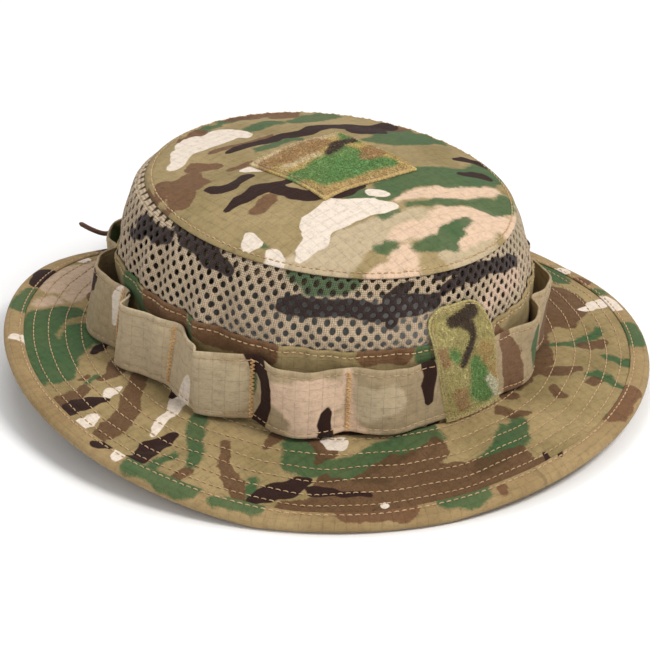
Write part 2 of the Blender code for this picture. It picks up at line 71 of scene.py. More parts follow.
bpy.ops.mesh.primitive_plane_add(size=6.0, location=(0.0, 0.0, -0.0004))
table = bpy.context.object
table.name = "table"
white = bpy.data.materials.new("table_white")
white.use_nodes = True
white.node_tree.nodes["Principled BSDF"].inputs["Base Color"].default_value = (0.95, 0.95, 0.95, 1)

white.node_tree.nodes["Principled BSDF"].inputs["Roughness"].default_value = 0.9
table.data.materials.append(white)


def soft_light(name, place, size, power, tint):
    lamp = bpy.data.lights.new(name, "AREA")
    lamp.shape = "DISK"
    lamp.size = size
    lamp.energy = power
    lamp.color = tint
    holder = bpy.data.objects.new(name, lamp)
    scene.collection.objects.link(holder)
    holder.location = place
    holder.rotation_euler = (Vector(place) - aim).to_track_quat("Z", "Y").to_euler()


soft_light("key", (0.30, -0.95, 1.45), 0.7, 19.5, (1.0, 0.98, 0.95))
soft_light("fill", (-1.35, -0.15, 0.80), 1.2, 3.0, (0.94, 0.97, 1.0))
soft_light("top", (0.35, 0.75, 1.40), 0.9, 6.0, (1.0, 1.0, 1.0))
surround = bpy.data.worlds.new("surround")
surround.use_nodes = True
surround.node_tree.nodes["Background"].inputs["Color"].default_value = (1.0, 1.0, 1.0, 1.0)
surround.node_tree.nodes["Background"].inputs["Strength"].default_value = 0.48
scene.world = surround

# ------------------------------------------------------------------ drawcord tails
# A braided brown elastic cord leaves two eyelets at the back of the hat, runs through the
# cord lock, and its two ends, sealed by melting, lie over the brim or stick out past it.
FOOT = 0.0141                       # the crown's foot above the table
CORD_Z = FOOT + 0.0175


def smooth_route(points, step):
    """Points every step along a smooth curve through the given points."""
    points = [Vector(p) for p in points]
    ends = [points[0] * 2 - points[1]] + points + [points[-1] * 2 - points[-2]]
    fine = []
    for p0, p1, p2, p3 in zip(ends, ends[1:], ends[2:], ends[3:]):
        for i in range(24):
            u = i / 24
            fine.append(0.5 * (2 * p1 + (p2 - p0) * u + (2 * p0 - 5 * p1 + 4 * p2 - p3) * u ** 2
                               + (3 * p1 - p0 - 3 * p2 + p3) * u ** 3))
    fine.append(points[-1])
    run = [0.0]
    for p, q in zip(fine, fine[1:]):
        run.append(run[-1] + (q - p).length)
    count = round(run[-1] / step)
    fine = np.array([p[:] for p in fine])
    places = np.linspace(0.0, run[-1], count + 1)
    return np.column_stack([np.interp(places, run, fine[:, k]) for k in range(3)]), run[-1]


class Num:
    """A number inside a material. Arithmetic on it adds the Math nodes."""

    def __init__(self, finish, socket):
        self.finish, self.socket = finish, socket

    def math(self, operation, *others, first=None):
        terms = (self,) + others if first is None else (first, self) + others
        node = self.finish.node("ShaderNodeMath", {"operation": operation},
                                dict(enumerate(terms)))
        return Num(self.finish, node.outputs[0])

    def __add__(self, other):
        return self.math("ADD", other)

    def __sub__(self, other):
        return self.math("SUBTRACT", other)

    def __rsub__(self, other):
        return self.math("SUBTRACT", first=other)

    def __mul__(self, other):
        return self.math("MULTIPLY", other)

    def __truediv__(self, other):
        return self.math("DIVIDE", other)

    def __mod__(self, other):
        return self.math("FLOORED_MODULO", other)

    def __abs__(self):
        return self.math("ABSOLUTE")

    __radd__ = __add__
    __rmul__ = __mul__

    def sin(self):
        return self.math("SINE")

    def ramp(self, low, high):
        """0 at low, 1 at high, clamped."""
        node = self.finish.node("ShaderNodeMapRange", {"clamp": True},
                                {"Value": self, "From Min": low, "From Max": high})
        return Num(self.finish, node.outputs[0])


class Finish:
    """A material on a Principled shader."""

    def __init__(self, name, **constants):
        self.material = bpy.data.materials.new(name)
        self.material.use_nodes = True
        self.tree = self.material.node_tree
        self.shader = self.tree.nodes["Principled BSDF"]
        for key, value in constants.items():
            self.shader.inputs[key.replace("_", " ")].default_value = value

    def node(self, kind, settings=None, inputs=None):
        node = self.tree.nodes.new(kind)
        for key, value in (settings or {}).items():
            if key == "stops":
                ramp = node.color_ramp
                while len(ramp.elements) < len(value):
                    ramp.elements.new(0.5)
                for element, (place, colour) in zip(ramp.elements, value):
                    element.position, element.color = place, (*colour, 1.0)
            else:
                setattr(node, key, value)
        for key, value in (inputs or {}).items():
            socket = node.inputs[key]
            if isinstance(value, Num):
                value = value.socket
            if isinstance(value, bpy.types.NodeSocket):
                self.tree.links.new(value, socket)
            elif hasattr(value, "__len__") and len(value) == 3 and socket.type == "RGBA":
                socket.default_value = (*value, 1.0)
            else:
                socket.default_value = value
        return node

    def attribute(self, name, vector=False):
        node = self.node("ShaderNodeAttribute", {"attribute_name": name})
        return node.outputs["Vector"] if vector else Num(self, node.outputs["Fac"])

    def noise(self, where, scale, detail=2.0, rough=0.5):
        node = self.node("ShaderNodeTexNoise", {}, {"Vector": where, "Scale": scale,
                                                   "Detail": detail, "Roughness": rough})
        return Num(self, node.outputs[0])

    def part(self, where, axis):
        return Num(self, self.node("ShaderNodeSeparateXYZ", {}, {0: where}).outputs[axis])

    def mix(self, factor, a, b, blend="MIX"):
        node = self.node("ShaderNodeMix", {"data_type": "RGBA", "blend_type": blend},
                         {0: factor, 6: a, 7: b})
        return node.outputs[2]

    def relief(self, height, depth, strength=1.0, under=None):
        inputs = {"Height": height, "Distance": depth, "Strength": strength}
        if under is not None:
            inputs["Normal"] = under
        return self.node("ShaderNodeBump", {}, inputs).outputs[0]

    def set(self, **links):
        for key, value in links.items():
            if isinstance(value, Num):
                value = value.socket
            self.tree.links.new(value, self.shader.inputs[key.replace("_", " ")])
        return self.material


def shade(red, green, blue):
    """A print or dye colour given as it looks, 0 to 255, in the light's own units."""
    return tuple(c / 255 / 12.92 if c / 255 <= 0.04045 else ((c / 255 + 0.055) / 1.055) ** 2.4
                 for c in (red, green, blue))


def cord_braid(name, dark, light):
    cord = Finish(name, Roughness=0.75)
    where = cord.node("ShaderNodeTexCoord").outputs["Object"]
    x, y, z = (cord.part(where, axis) for axis in range(3))
    strands = ((x + y) * 5200.0).sin() * ((y - x + z) * 5200.0).sin()
    fleck = cord.noise(where, 900.0)
    cord.set(Base_Color=cord.mix((strands * 0.35 + fleck).ramp(0.1, 0.95), dark, light),
             Normal=cord.relief(strands, 0.00015, 0.6))
    return cord.material


BROWN_CORD = cord_braid("drawcord_braid", shade(70, 44, 32), shade(118, 84, 66))
SPACE = 0.00135                      # each cord's distance from the middle inside the lock
LOCK_FRONT, LOCK_MIDDLE = 0.1070, 0.1155
tails = {
    "left": [(-0.0050, 0.0983, 0.0), (-0.0051, 0.0991, 0.0), (-0.0044, 0.1022, 0.0),
             (-0.0024, 0.1050, 0.0), (-SPACE, LOCK_FRONT, 0.0), (-SPACE, LOCK_MIDDLE, 0.0),
             (-SPACE, 0.1285, 0.0), (-SPACE, 0.1385, 0.0), (-SPACE, 0.1415, 0.0),
             (-0.0040, 0.1450, -0.0010), (-0.0105, 0.1455, -0.0051), (-0.0185, 0.1415, -0.0078),
             (-0.0280, 0.1360, -0.0076), (-0.0375, 0.1322, -0.0048), (-0.0440, 0.1335, -0.0013),
             (-0.0492, 0.1375, 0.0025)],
    "right": [(0.0050, 0.0983, 0.0), (0.0051, 0.0991, 0.0), (0.0044, 0.1022, 0.0),
              (0.0024, 0.1050, 0.0), (SPACE, LOCK_FRONT, 0.0), (SPACE, LOCK_MIDDLE, 0.0),
              (SPACE, 0.1285, 0.0), (SPACE, 0.1385, 0.0), (SPACE, 0.1415, 0.0),
              (0.0040, 0.1450, -0.0020), (0.0100, 0.1465, -0.0081), (0.0175, 0.1450, -0.0151),
              (0.0250, 0.1425, -0.0211), (0.0330, 0.1378, -0.0236), (0.0405, 0.1355, -0.0240),
              (0.0475, 0.1330, -0.0240)]}
for side, points in tails.items():
    route, length = smooth_route([(x, y, CORD_Z + z) for x, y, z in points], 0.0012)
    curve = bpy.data.curves.new(f"tail_{side}", "CURVE")
    curve.dimensions = "3D"
    curve.bevel_depth = 0.0012
    curve.bevel_resolution = 4
    curve.use_fill_caps = True
    spline = curve.splines.new("POLY")
    spline.points.add(len(route) - 1)
    for n, (point, place) in enumerate(zip(spline.points, route)):
        point.co = (*place, 1.0)
        left_over = (len(route) - 1 - n) * 0.0012
        point.radius = min(1.0, 0.45 + left_over / 0.0022) if left_over < 0.0022 else 1.0
    tail = bpy.data.objects.new(f"tail_{side}", curve)
    scene.collection.objects.link(tail)
    curve.materials.append(BROWN_CORD)
    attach(tail, "hat")
    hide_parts(f"drawcord_tail_{side}")
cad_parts["drawcord_channel"].data.materials[0] = BROWN_CORD

# ------------------------------------------------------------------ crown top
# An oval panel of ripstop, printed before it was cut. Its edge is folded over the head of
# the mesh wall and topstitched; the sewing draws it into small puckers.
HEAD_A, HEAD_B = 0.0970, 0.0920     # half length and half width at the foot of the crown
TOP_A, TOP_B = 0.0930, 0.0775       # the same at the top seam
CROWN_H, DOME_H = 0.0770, 0.0135
OLIVE, OLIVE_DEEP = shade(166, 146, 106), shade(140, 124, 84)
GREEN, BROWN = shade(72, 98, 62), shade(106, 70, 48)
DARK, CREAM = shade(46, 25, 19), shade(232, 218, 203)
PINK, KHAKI = shade(220, 190, 164), shade(190, 172, 142)
LAYERS = (("khaki", KHAKI), ("pink", PINK), ("green", GREEN), ("brown", BROWN),
          ("cream", CREAM), ("dark", DARK))


def turn(degrees):
    return np.radians(degrees)


def near(t, degrees, width):
    """1 at an angle round the hat, falling to 0 on both sides of it."""
    away = np.arctan2(np.sin(t - turn(degrees)), np.cos(t - turn(degrees)))
    return np.exp(-(away / turn(width)) ** 2)


def lift(t, h):
    """The left rear of the hat sits a little high, as it was last worn."""
    return 0.0040 * near(t, -102, 30) * np.clip(1.0 - h / 0.070, 0.0, 1.0)


def slump(t, h):
    """How far the soft wall stands out from its cut shape, in folds and hollows."""
    share = np.clip(h / CROWN_H, 0.0, 1.0)
    soft = np.sin(np.pi * share)
    shoulder = 1.0 - 0.68 * np.clip((h - 0.0740) / 0.0030, 0.0, 1.0)
    out = (0.0061 + 0.0017 * share) * near(t, -131, 31) * np.clip(h / 0.035, 0.0, 1.0) * shoulder
    out += 0.0012 * near(t, 60, 30) * soft
    folds = np.sin(t * 31.0 + 0.8 * np.sin(t * 7.0) + share * 1.5) * near(t, -84, 30)
    out += 0.0012 * folds * soft
    out += 0.0006 * np.sin(t * 17.0 + 9.0 * share + 1.3) * soft
    out += 0.0004 * np.sin(t * 41.0 - 7.0 * share) * soft
    crease = np.exp(-((h - 0.0560 - 0.0035 * np.sin(t * 5.0)) / 0.0040) ** 2)
    out -= 0.0016 * crease * near(t, -30, 34)
    out += 0.0014 * np.exp(-((h - 0.0500) / 0.0040) ** 2) * near(t, -30, 40)
    return out


def oval(a, b, t, off=0.0):
    nx, ny = a * np.sin(t), -b * np.cos(t)
    size = np.hypot(nx, ny)
    return b * np.sin(t) + nx / size * off, -a * np.cos(t) + ny / size * off


def wall(t, h, off=0.0):
    """The crown wall's outer face at height h above its foot, moved out by off."""
    t, h = np.broadcast_arrays(np.asarray(t, float), np.asarray(h, float))
    lean = (np.clip(h, 0.0, None) / CROWN_H) ** 4
    x, y = oval(HEAD_A + (TOP_A - HEAD_A) * lean, HEAD_B + (TOP_B - HEAD_B) * lean, t,
                off + slump(t, h))
    return np.stack([x, y, FOOT + h + lift(t, h)], axis=-1)


def shape_distance(places, shapes):
    """Millimetres from each place to the nearest printed shape, less than 0 inside one.

    A shape is a chain of discs, each x, y and radius, joined by straight tapered runs.
    """
    nearest = np.full(len(places), 60.0)
    for chain in shapes:
        links = list(zip(chain, chain[1:])) or [(chain[0], chain[0])]
        for (x0, y0, r0), (x1, y1, r1) in links:
            along = np.array([x1 - x0, y1 - y0])
            size = max(float(along @ along), 1e-9)
            share = np.clip(((places - (x0, y0)) @ along) / size, 0.0, 1.0)
            gap = np.hypot(places[:, 0] - x0 - along[0] * share,
                           places[:, 1] - y0 - along[1] * share) - (r0 + (r1 - r0) * share)
            nearest = np.minimum(nearest, gap)
    return nearest


def printed(obj, places, shapes, cloth, stray=2.6):
    """Lays a print on a piece: places are its points on the flat cloth, in millimetres.

    The dye runs a little, so the outlines stray from the drawn shapes."""
    drift = [noise.noise_vector((x / 13, y / 13, 0.4)) * stray
             + noise.noise_vector((x / 5, y / 5, 7.7)) * stray * 0.45 for x, y in places.tolist()]
    places = places + np.array([d[:2] for d in drift])
    for layer, _ in LAYERS:
        values = shape_distance(places, shapes.get(layer, []))
        obj.data.attributes.new(layer, "FLOAT", "POINT").data.foreach_set(
            "value", values.astype(np.float32))
    flat = np.zeros((len(places), 3), np.float32)
    flat[:, :2] = cloth
    obj.data.attributes.new("cloth", "FLOAT_VECTOR", "POINT").data.foreach_set(
        "vector", flat.ravel())


def print_colour(finish, where, base, base_deep, soft=0.0, layers=LAYERS):
    """The camouflage print's colour, from the layers laid on a piece."""
    ragged = finish.noise(where, 210.0, 5.0, 0.62) - 0.5
    fine = finish.noise(where, 1100.0, 3.0, 0.6) - 0.5
    broad = finish.noise(where, 26.0, 3.0, 0.55)
    colour = finish.mix(broad.ramp(0.36, 0.66), base, base_deep)
    for layer, dye in layers:
        edge = finish.attribute(layer)
        if layer in ("khaki", "pink"):
            inside = 1.0 - (edge + ragged * 5.0 + fine * 1.5).ramp(-1.2 - soft, 1.2 + soft)
        elif layer == "green":
            inside = 1.0 - (edge + ragged * 5.5 + fine * 2.5).ramp(-0.9 - soft, 0.9 + soft)
            inside = inside * (0.74 + broad * 0.42)
        elif layer == "brown":
            inside = 1.0 - (edge + ragged * 3.5 + fine * 2.0).ramp(-0.35 - soft, 0.35 + soft)
            inside = inside * (0.84 + fine * 0.5)
        else:
            inside = 1.0 - (edge + ragged * 0.9).ramp(-0.25 - soft, 0.25 + soft)
        colour = finish.mix(inside, colour, dye)
    return colour


def ripstop(name, base=OLIVE, base_deep=OLIVE_DEEP, crumpled=0.45, layers=LAYERS):
    """Printed ripstop: a fine plain weave with a raised double thread every 5 mm."""
    cloth = Finish(name, Roughness=0.88, Sheen_Weight=0.05, Sheen_Roughness=0.5,
                   Specular_IOR_Level=0.2)
    where = cloth.attribute("cloth", vector=True)
    u, v = cloth.part(where, 0), cloth.part(where, 1)
    colour = print_colour(cloth, where, base, base_deep, layers=layers)
    weave = (u * (2 * math.pi / 0.00062)).sin() * (v * (2 * math.pi / 0.00062)).sin()
    across = abs((u % 0.0052) - 0.0026).ramp(0.00020, 0.0)
    down = abs((v % 0.0052) - 0.0026).ramp(0.00020, 0.0)
    grid = across.math("MAXIMUM", down)
    slub = cloth.noise(where, 1500.0, 3.0, 0.6)
    mottle = cloth.noise(where, 330.0, 5.0, 0.68)
    streak = cloth.noise(cloth.node("ShaderNodeVectorMath", {"operation": "MULTIPLY"},
                                    {0: where, 1: (160.0, 1500.0, 1.0)}).outputs[0], 1.0, 3.0, 0.6)
    worn = (mottle * 0.75 + streak * 0.20 + slub * 0.30 + weave * 0.06 - grid * 0.13)
    colour = cloth.mix(worn.ramp(0.52, 0.90) * 0.50, colour, shade(214, 202, 180), "SOFT_LIGHT")
    colour = cloth.mix(worn.ramp(0.66, 0.36) * 0.50, colour, shade(158, 142, 118), "MULTIPLY")
    height = weave * 0.35 + grid * 1.4 + slub * 0.6
    crumple = cloth.noise(where, 75.0, 6.0, 0.62)
    under = cloth.relief(crumple, 0.0024, crumpled)
    cloth.set(Base_Color=colour, Normal=cloth.relief(height, 0.00018, 0.6, under),
              Roughness=mottle * 0.2 + 0.76)
    return cloth.material


def piece(name, points, faces, material, replaces=()):
    """A piece of the hat from its points and faces. It moves with the hat."""
    mesh = bpy.data.meshes.new(name)
    mesh.from_pydata([tuple(p) for p in points], [], faces)
    mesh.materials.append(material)
    mesh.shade_smooth()
    obj = bpy.data.objects.new(name, mesh)
    scene.collection.objects.link(obj)
    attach(obj, "hat")
    if replaces:
        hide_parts(*replaces)
    return obj


def ring_faces(rows, count, closed=True):
    """Quads between rows of count points each, row after row."""
    faces = []
    reach = count if closed else count - 1
    for i in range(rows - 1):
        for j in range(reach):
            k = (j + 1) % count
            faces.append((i * count + j, i * count + k, (i + 1) * count + k, (i + 1) * count + j))
    return faces


def thickness(obj, depth, outward=False):
    mod = obj.modifiers.new("cloth", "SOLIDIFY")
    mod.thickness = depth
    mod.offset = 1.0 if outward else -1.0
    mod.use_even_offset = False
    return obj


top_print = {
    "khaki": [[(-66, -50, 7), (-50, -60, 10), (-30, -58, 9), (-12, -62, 10), (2, -66, 9)],
              [(-2, -88, 8), (14, -86, 7), (26, -80, 5)], [(58, -66, 3), (52, -74, 5)]],
    "pink": [[(1, -45, 3), (12, -45, 4.5), (25, -49, 5.5), (38, -52, 6), (53, -54, 4.6)],
             [(-50, -82, 8), (-30, -85, 8), (-22, -78, 7)],
             [(-18, -66, 4), (0, -68, 5), (14, -66, 7), (28, -72, 10), (40, -78, 7)],
             [(6, -78, 8), (20, -80, 7)], [(38, -82, 8), (48, -78, 6)]],
    "green": [[(-13, -77, 3.6), (-6, -78, 6), (-1, -80, 6), (6, -76, 5), (14, -74, 4),
               (19, -73, 2.8)],
              [(-28, -69, 3.6), (-24, -69, 3.4)], [(-15, -51, 2.4), (-7, -52, 2)],
              [(0, -53, 2), (10, -55, 2.8), (22, -56, 3.4), (32, -59, 4), (41, -65, 7),
               (47, -66, 6), (56, -60, 4)],
              [(-18, -31, 2.5), (-10, -36, 5.5), (-3, -40, 4.5), (6, -34, 6), (16, -33, 8),
               (28, -35, 9.5), (42, -38, 11), (56, -40, 9), (66, -34, 9)],
              [(36, 14, 4), (46, 12, 10), (58, 10, 11), (68, 14, 8), (70, 4, 4)],
              [(44, 26, 4), (56, 24, 5), (66, 24, 5)],
              [(5, 65, 5.5), (14, 66, 5.5), (18, 62, 4)], [(25, 59, 3.5), (35, 62, 7.5), (47, 63, 7)],
              [(-12, 83, 4), (-5, 85, 4.5)], [(4, 87, 5), (14, 86, 4)], [(-66, -32, 2.6)],
              [(-14, 38, 3), (-4, 38, 3), (8, 36, 3)]],
    "brown": [[(-71, 26, 5), (-62, 33, 8), (-54, 38, 8), (-50, 42, 6)],
              [(-44, 50, 5), (-40, 45, 3.5), (-37, 42, 3)], [(-72, 38, 3), (-62, 47, 4)],
              [(-26, 81, 3.5), (-15, 83, 5)], [(-27, 55, 3), (-17, 52, 2.6), (-6, 50, 2.4),
                                              (2, 48, 2)],
              [(-34, 32, 2.5), (-27, 31, 2.2)], [(8, 88, 5), (24, 85, 6), (38, 78, 5)],
              [(-52, -10, 3.4), (-46, -8, 4.6), (-43, -7, 3.6)], [(60, 28, 3), (68, 30, 4)],
              [(24, 74, 3), (34, 72, 3)]],
    "cream": [[(-50, 60, 3.6), (-44, 62, 5), (-36, 67, 6.5), (-24, 70, 8.5), (-12, 70, 8.5),
               (-6, 66, 5.5), (-4, 60, 3)], [(-30, 76, 5), (-22, 78, 4)],
              [(-30, 25, 3), (-25, 21, 4.6), (-21, 15, 3.6)],
              [(-60, -50, 2.5), (-49, -47, 4.6), (-40, -39, 9.5), (-28, -38, 9.5), (-16, -43, 6.5),
               (-5, -48, 3)], [(-6, -36.5, 3.2), (-2.5, -38, 3)],
              [(-66, -21, 3), (-69, -27, 5)], [(-66, -39, 4), (-68, -44, 4)]],
    "dark": [[(-24, 47, 2), (-18, 47, 3.4), (-8, 46, 4), (2, 43, 3.6), (12, 42, 4),
              (24, 43, 4.6), (35, 41, 5), (44, 37, 7.5), (52, 33, 8.5), (60, 34, 7),
              (66, 37, 4)], [(40, 29, 5), (50, 26, 5)],
             [(-53, 23, 3), (-52, 19, 4.2), (-46, 17.5, 3.8), (-37, 19.5, 3.6)],
             [(-59, 2, 2.6), (-52, 4, 4.4), (-44, 3.4, 4.6), (-36, -1, 3.4), (-28, -2, 2.8),
              (-20, -3, 3.8)],
             [(-37, -4, 3.6), (-34, -13, 3.8), (-28, -22, 4), (-21, -27, 4.2), (-13, -29, 4),
              (-5, -28, 3)],
             [(61, -20, 2.6), (66, -20, 4), (72, -25, 4)], [(49, -36, 2.8), (56, -37, 4),
                                                            (61, -38, 4)]]}
ROUND = 288
t_ring = np.arange(ROUND) * 2 * np.pi / ROUND
rows, flat_rows = [], []
for off, h in ((0.0001, 0.0765), (0.0007, 0.0765), (0.0010, 0.0769), (0.0010, 0.0773)):
    p = wall(t_ring, h, off)
    rows.append(p)
    reach = 1.0 + (CROWN_H - h) / 0.085
    flat_rows.append(np.stack([TOP_B * reach * np.sin(t_ring), -TOP_A * reach * np.cos(t_ring)], 1))


def top_height(x, y):
    """The top panel over a point of the plan: a shallow dome that has sunk here and there."""
    rho = np.hypot(x / TOP_B, y / TOP_A)
    rise = DOME_H * (1.0 - rho ** 2)
    dips = 0.0007 * np.sin(x * 62.0 + 1.0) * np.sin(y * 48.0 - 0.6)
    dips += 0.0004 * np.sin(x * 130.0 + y * 95.0)
    fade = np.clip((1.0 - rho) * 6.0, 0.0, 1.0)
    rise = rise - 0.06 * y * np.clip(1.0 - rho ** 2, 0.0, 1.0) ** 1.5
    seam = 0.00045 * np.exp(-((rho - 0.986) / 0.006) ** 2)
    angle = np.arctan2(x / TOP_B, -y / TOP_A)
    pucker = 0.00028 * np.sin(angle * 83.0 + 3.0 * np.sin(angle * 9.0))
    pucker += 0.00022 * np.sin(angle * 57.0 + 2.0 * np.sin(angle * 5.0))
    pucker = pucker * np.exp(-((rho - 0.960) / 0.040) ** 2)
    return FOOT + CROWN_H + 0.0011 + rise + dips * fade - seam + pucker


def top_spread(t, rho):
    """A place on the plan of the top panel, which its slumped wall has pulled out of true."""
    x, y = oval(TOP_A * rho, TOP_B * rho, t, 0.0025 * near(t, -131, 30) * rho ** 6)
    return x, y


for rho in np.concatenate([[1.004, 1.000, 0.996, 0.991, 0.986, 0.981, 0.976, 0.968, 0.956],
                           np.linspace(0.94, 0.03, 40)]):
    z = top_height(TOP_B * rho * np.sin(t_ring), -TOP_A * rho * np.cos(t_ring))
    if rho > 0.995:
        z = z - (rho - 0.994) * 0.040
    x, y = top_spread(t_ring, rho)
    rows.append(np.stack([x, y, z], 1))
    flat_rows.append(np.stack([x, y], 1))
points = np.concatenate(rows + [[[0.0, 0.0, float(top_height(0.0, 0.0))]]])
flat = np.concatenate(flat_rows + [[[0.0, 0.0]]])
faces = ring_faces(len(rows), ROUND)
last = (len(rows) - 1) * ROUND
faces += [(last + j, last + (j + 1) % ROUND, last + ROUND) for j in range(ROUND)]
crown_top = piece("crown_top_panel", points, faces, ripstop("top_panel_ripstop"),
                  ("crown_top",))
printed(crown_top, flat * 1000.0, top_print, flat)
thickness(crown_top, 0.0007)

# ------------------------------------------------------------------ topstitching
# Tan polyester thread. Each stitch is a short arc that dips into the cloth at both ends,
# so a row shows as dashes; one function sews every row on the hat.
THREAD_TAN = shade(222, 190, 146)


def thread_finish(name, light, dark):
    thread = Finish(name, Roughness=0.55, Sheen_Weight=0.2)
    where = thread.node("ShaderNodeTexCoord").outputs["Object"]
    x, y, z = (thread.part(where, axis) for axis in range(3))
    ply = ((x + y + z) * 9000.0).sin()
    tone = thread.noise(where, 220.0)
    thread.set(Base_Color=thread.mix((ply * 0.2 + tone).ramp(0.2, 0.85), dark, light),
               Normal=thread.relief(ply, 0.0001, 0.5))
    return thread.material


TAN_THREAD = thread_finish("tan_thread", THREAD_TAN, shade(168, 130, 88))


def sew(place, stitches, run=0.74, radius=0.00034, sink=0.00030, rise=0.00026):
    """Points and faces of a row of stitches. place(u) gives points and up directions for u from
    0 to 1 along the row."""
    stations = np.array([0.0, 0.12, 0.38, 0.62, 0.88, 1.0])
    height = np.array([-sink, rise * 0.4, rise, rise, rise * 0.4, -sink])
    thin = np.array([0.55, 0.9, 1.0, 1.0, 0.9, 0.55])
    u = (np.arange(stitches)[:, None] + (1 - run) / 2 + stations[None] * run) / stitches
    where, up = place(u.ravel())
    where = where.reshape(stitches, 6, 3)
    up = up.reshape(stitches, 6, 3)
    along = where[:, -1] - where[:, 0]
    along /= np.linalg.norm(along, axis=1)[:, None]
    side = np.cross(along[:, None], up)
    side /= np.linalg.norm(side, axis=2)[..., None]
    centre = where + up * height[None, :, None]
    turns = np.arange(6) * np.pi / 3
    ring = (side[:, :, None] * np.cos(turns)[None, None, :, None]
            + up[:, :, None] * np.sin(turns)[None, None, :, None] * 0.8)
    points = centre[:, :, None] + ring * radius * thin[None, :, None, None]
    faces = []
    for s in range(stitches):
        base = s * 36
        for i in range(5):
            for j in range(6):
                k = (j + 1) % 6
                faces.append((base + i * 6 + j, base + i * 6 + k,
                              base + i * 6 + 6 + k, base + i * 6 + 6 + j))
        faces.append(tuple(base + j for j in range(5, -1, -1)))
        faces.append(tuple(base + 30 + j for j in range(6)))
    return points.reshape(-1, 3), faces


def sewn_piece(name, rows, material, replaces=()):
    points, faces, start = [], [], 0
    for p, f in rows:
        points.append(p)
        faces += [tuple(i + start for i in face) for face in f]
        start += len(p)
    return piece(name, np.concatenate(points), faces, material, replaces)


def top_seam(u):
    t = u * 2 * np.pi
    z = top_height(TOP_B * 0.986 * np.sin(t), -TOP_A * 0.986 * np.cos(t)) + 0.00018
    x, y = top_spread(t, 0.986)
    p = np.stack([x, y, z], 1)
    up = np.stack([0.20 * np.sin(t), -0.20 * np.cos(t), np.full_like(t, 0.98)], 1)
    return p, up


sewn_piece("top_seam_stitches", [sew(top_seam, 172)], TAN_THREAD, ("crown_top_stitch",))

# ------------------------------------------------------------------ mesh wall
# A strip of printed warp-knit mesh with round holes set in diamonds. It is sewn to the
# top panel above and runs down behind the ripstop band below.
wall_print = {
    "green": [[(-56, 76, 4), (-50, 73, 5.5), (-42, 73, 4.6), (-37, 75, 3.5)],
              [(150, 60, 7), (158, 66, 6)], [(95, 55, 6), (104, 50, 5)]],
    "pink": [[(6, 52, 4), (13, 57, 6), (20, 58, 6), (27, 56, 5)], [(-168, 66, 6), (-160, 60, 5)],
             [(120, 68, 5), (128, 66, 4)]],
    "khaki": [[(22, 74, 6), (33, 72, 7), (42, 72, 7)]],
    "brown": [[(70, 70, 5), (78, 66, 6), (84, 60, 4)], [(-150, 50, 5), (-142, 46, 5)]],
    "dark": [[(-57, 62, 3.4), (-50, 62, 4.6), (-40, 62.5, 4.4), (-30, 62, 4.6), (-21, 63, 5.5),
              (-13, 64.5, 4.6)], [(-27, 68, 3.5), (-21, 72, 2.6)], [(-25, 57, 4)],
             [(-98, 78, 3.6), (-90, 75, 3.6), (-82, 72, 4.6), (-75, 70, 3)],
             [(-113, 68, 3.6), (-106, 68, 4.4), (-99, 72, 2.6)], [(-118, 61, 2.2), (-111, 64, 3)],
             [(-12, 76, 2.6), (-5, 75, 3), (2, 72.5, 4.6), (9, 71, 4.6), (16, 68.5, 4.6),
              (23, 66, 4.2), (28, 62, 2.6)], [(-9, 68, 2.6), (-2, 69, 2.6)],
             [(60, 50, 3.5), (70, 52, 4.5), (80, 48, 3)], [(110, 60, 3), (120, 56, 4), (131, 58, 3)],
             [(165, 48, 3.5), (174, 52, 4.5), (183, 50, 3.5)], [(-150, 70, 3), (-141, 68, 4)]]}
MM_PER_DEGREE = 1.64


def around_to_flat(degrees_heights):
    """Angle in degrees and height in millimetres to millimetres on the unrolled wall."""
    flat = np.array(degrees_heights, float)
    flat[:, 0] *= MM_PER_DEGREE
    return flat


def unrolled(shapes):
    """A print laid out in degrees and millimetres, with each shape repeated a turn away."""
    out = {}
    for layer, chains in shapes.items():
        out[layer] = []
        for chain in chains:
            for lap in (-360, 0, 360):
                out[layer].append([((d + lap) * MM_PER_DEGREE, h, r) for d, h, r in chain])
    return out


def in_turn(t):
    """An angle as degrees from -180 to 180."""
    return np.degrees(np.arctan2(np.sin(t), np.cos(t)))


COLUMNS, HOLE_ROWS, ROW_STEP = 100, 13, 0.00330
PITCH = 360.0 / COLUMNS
HOLE_W, HOLE_L, SIDES = 1.40, 1.54, 12
corner_u = np.array([0, 1 / 3, 2 / 3, 1, 2 / 3, 1 / 3, 0, -1 / 3, -2 / 3, -1, -2 / 3, -1 / 3])
corner_v = np.array([1, 2 / 3, 1 / 3, 0, -1 / 3, -2 / 3, -1, -2 / 3, -1 / 3, 0, 1 / 3, 2 / 3])
hole_u = np.sin(np.arange(SIDES) * 2 * np.pi / SIDES) * HOLE_W / (PITCH * MM_PER_DEGREE / 2)
hole_v = np.cos(np.arange(SIDES) * 2 * np.pi / SIDES) * HOLE_L / (ROW_STEP * 1000)
keys, places, faces = {}, [], []


def knot(u, v):
    """The number of a point of the mesh, u in half pitches and v in rows; neighbours share it."""
    key = (round(u * 60) % (COLUMNS * 120), round(v * 60))
    if key not in keys:
        keys[key] = len(places)
        places.append((u * PITCH / 2, v))
    return keys[key]


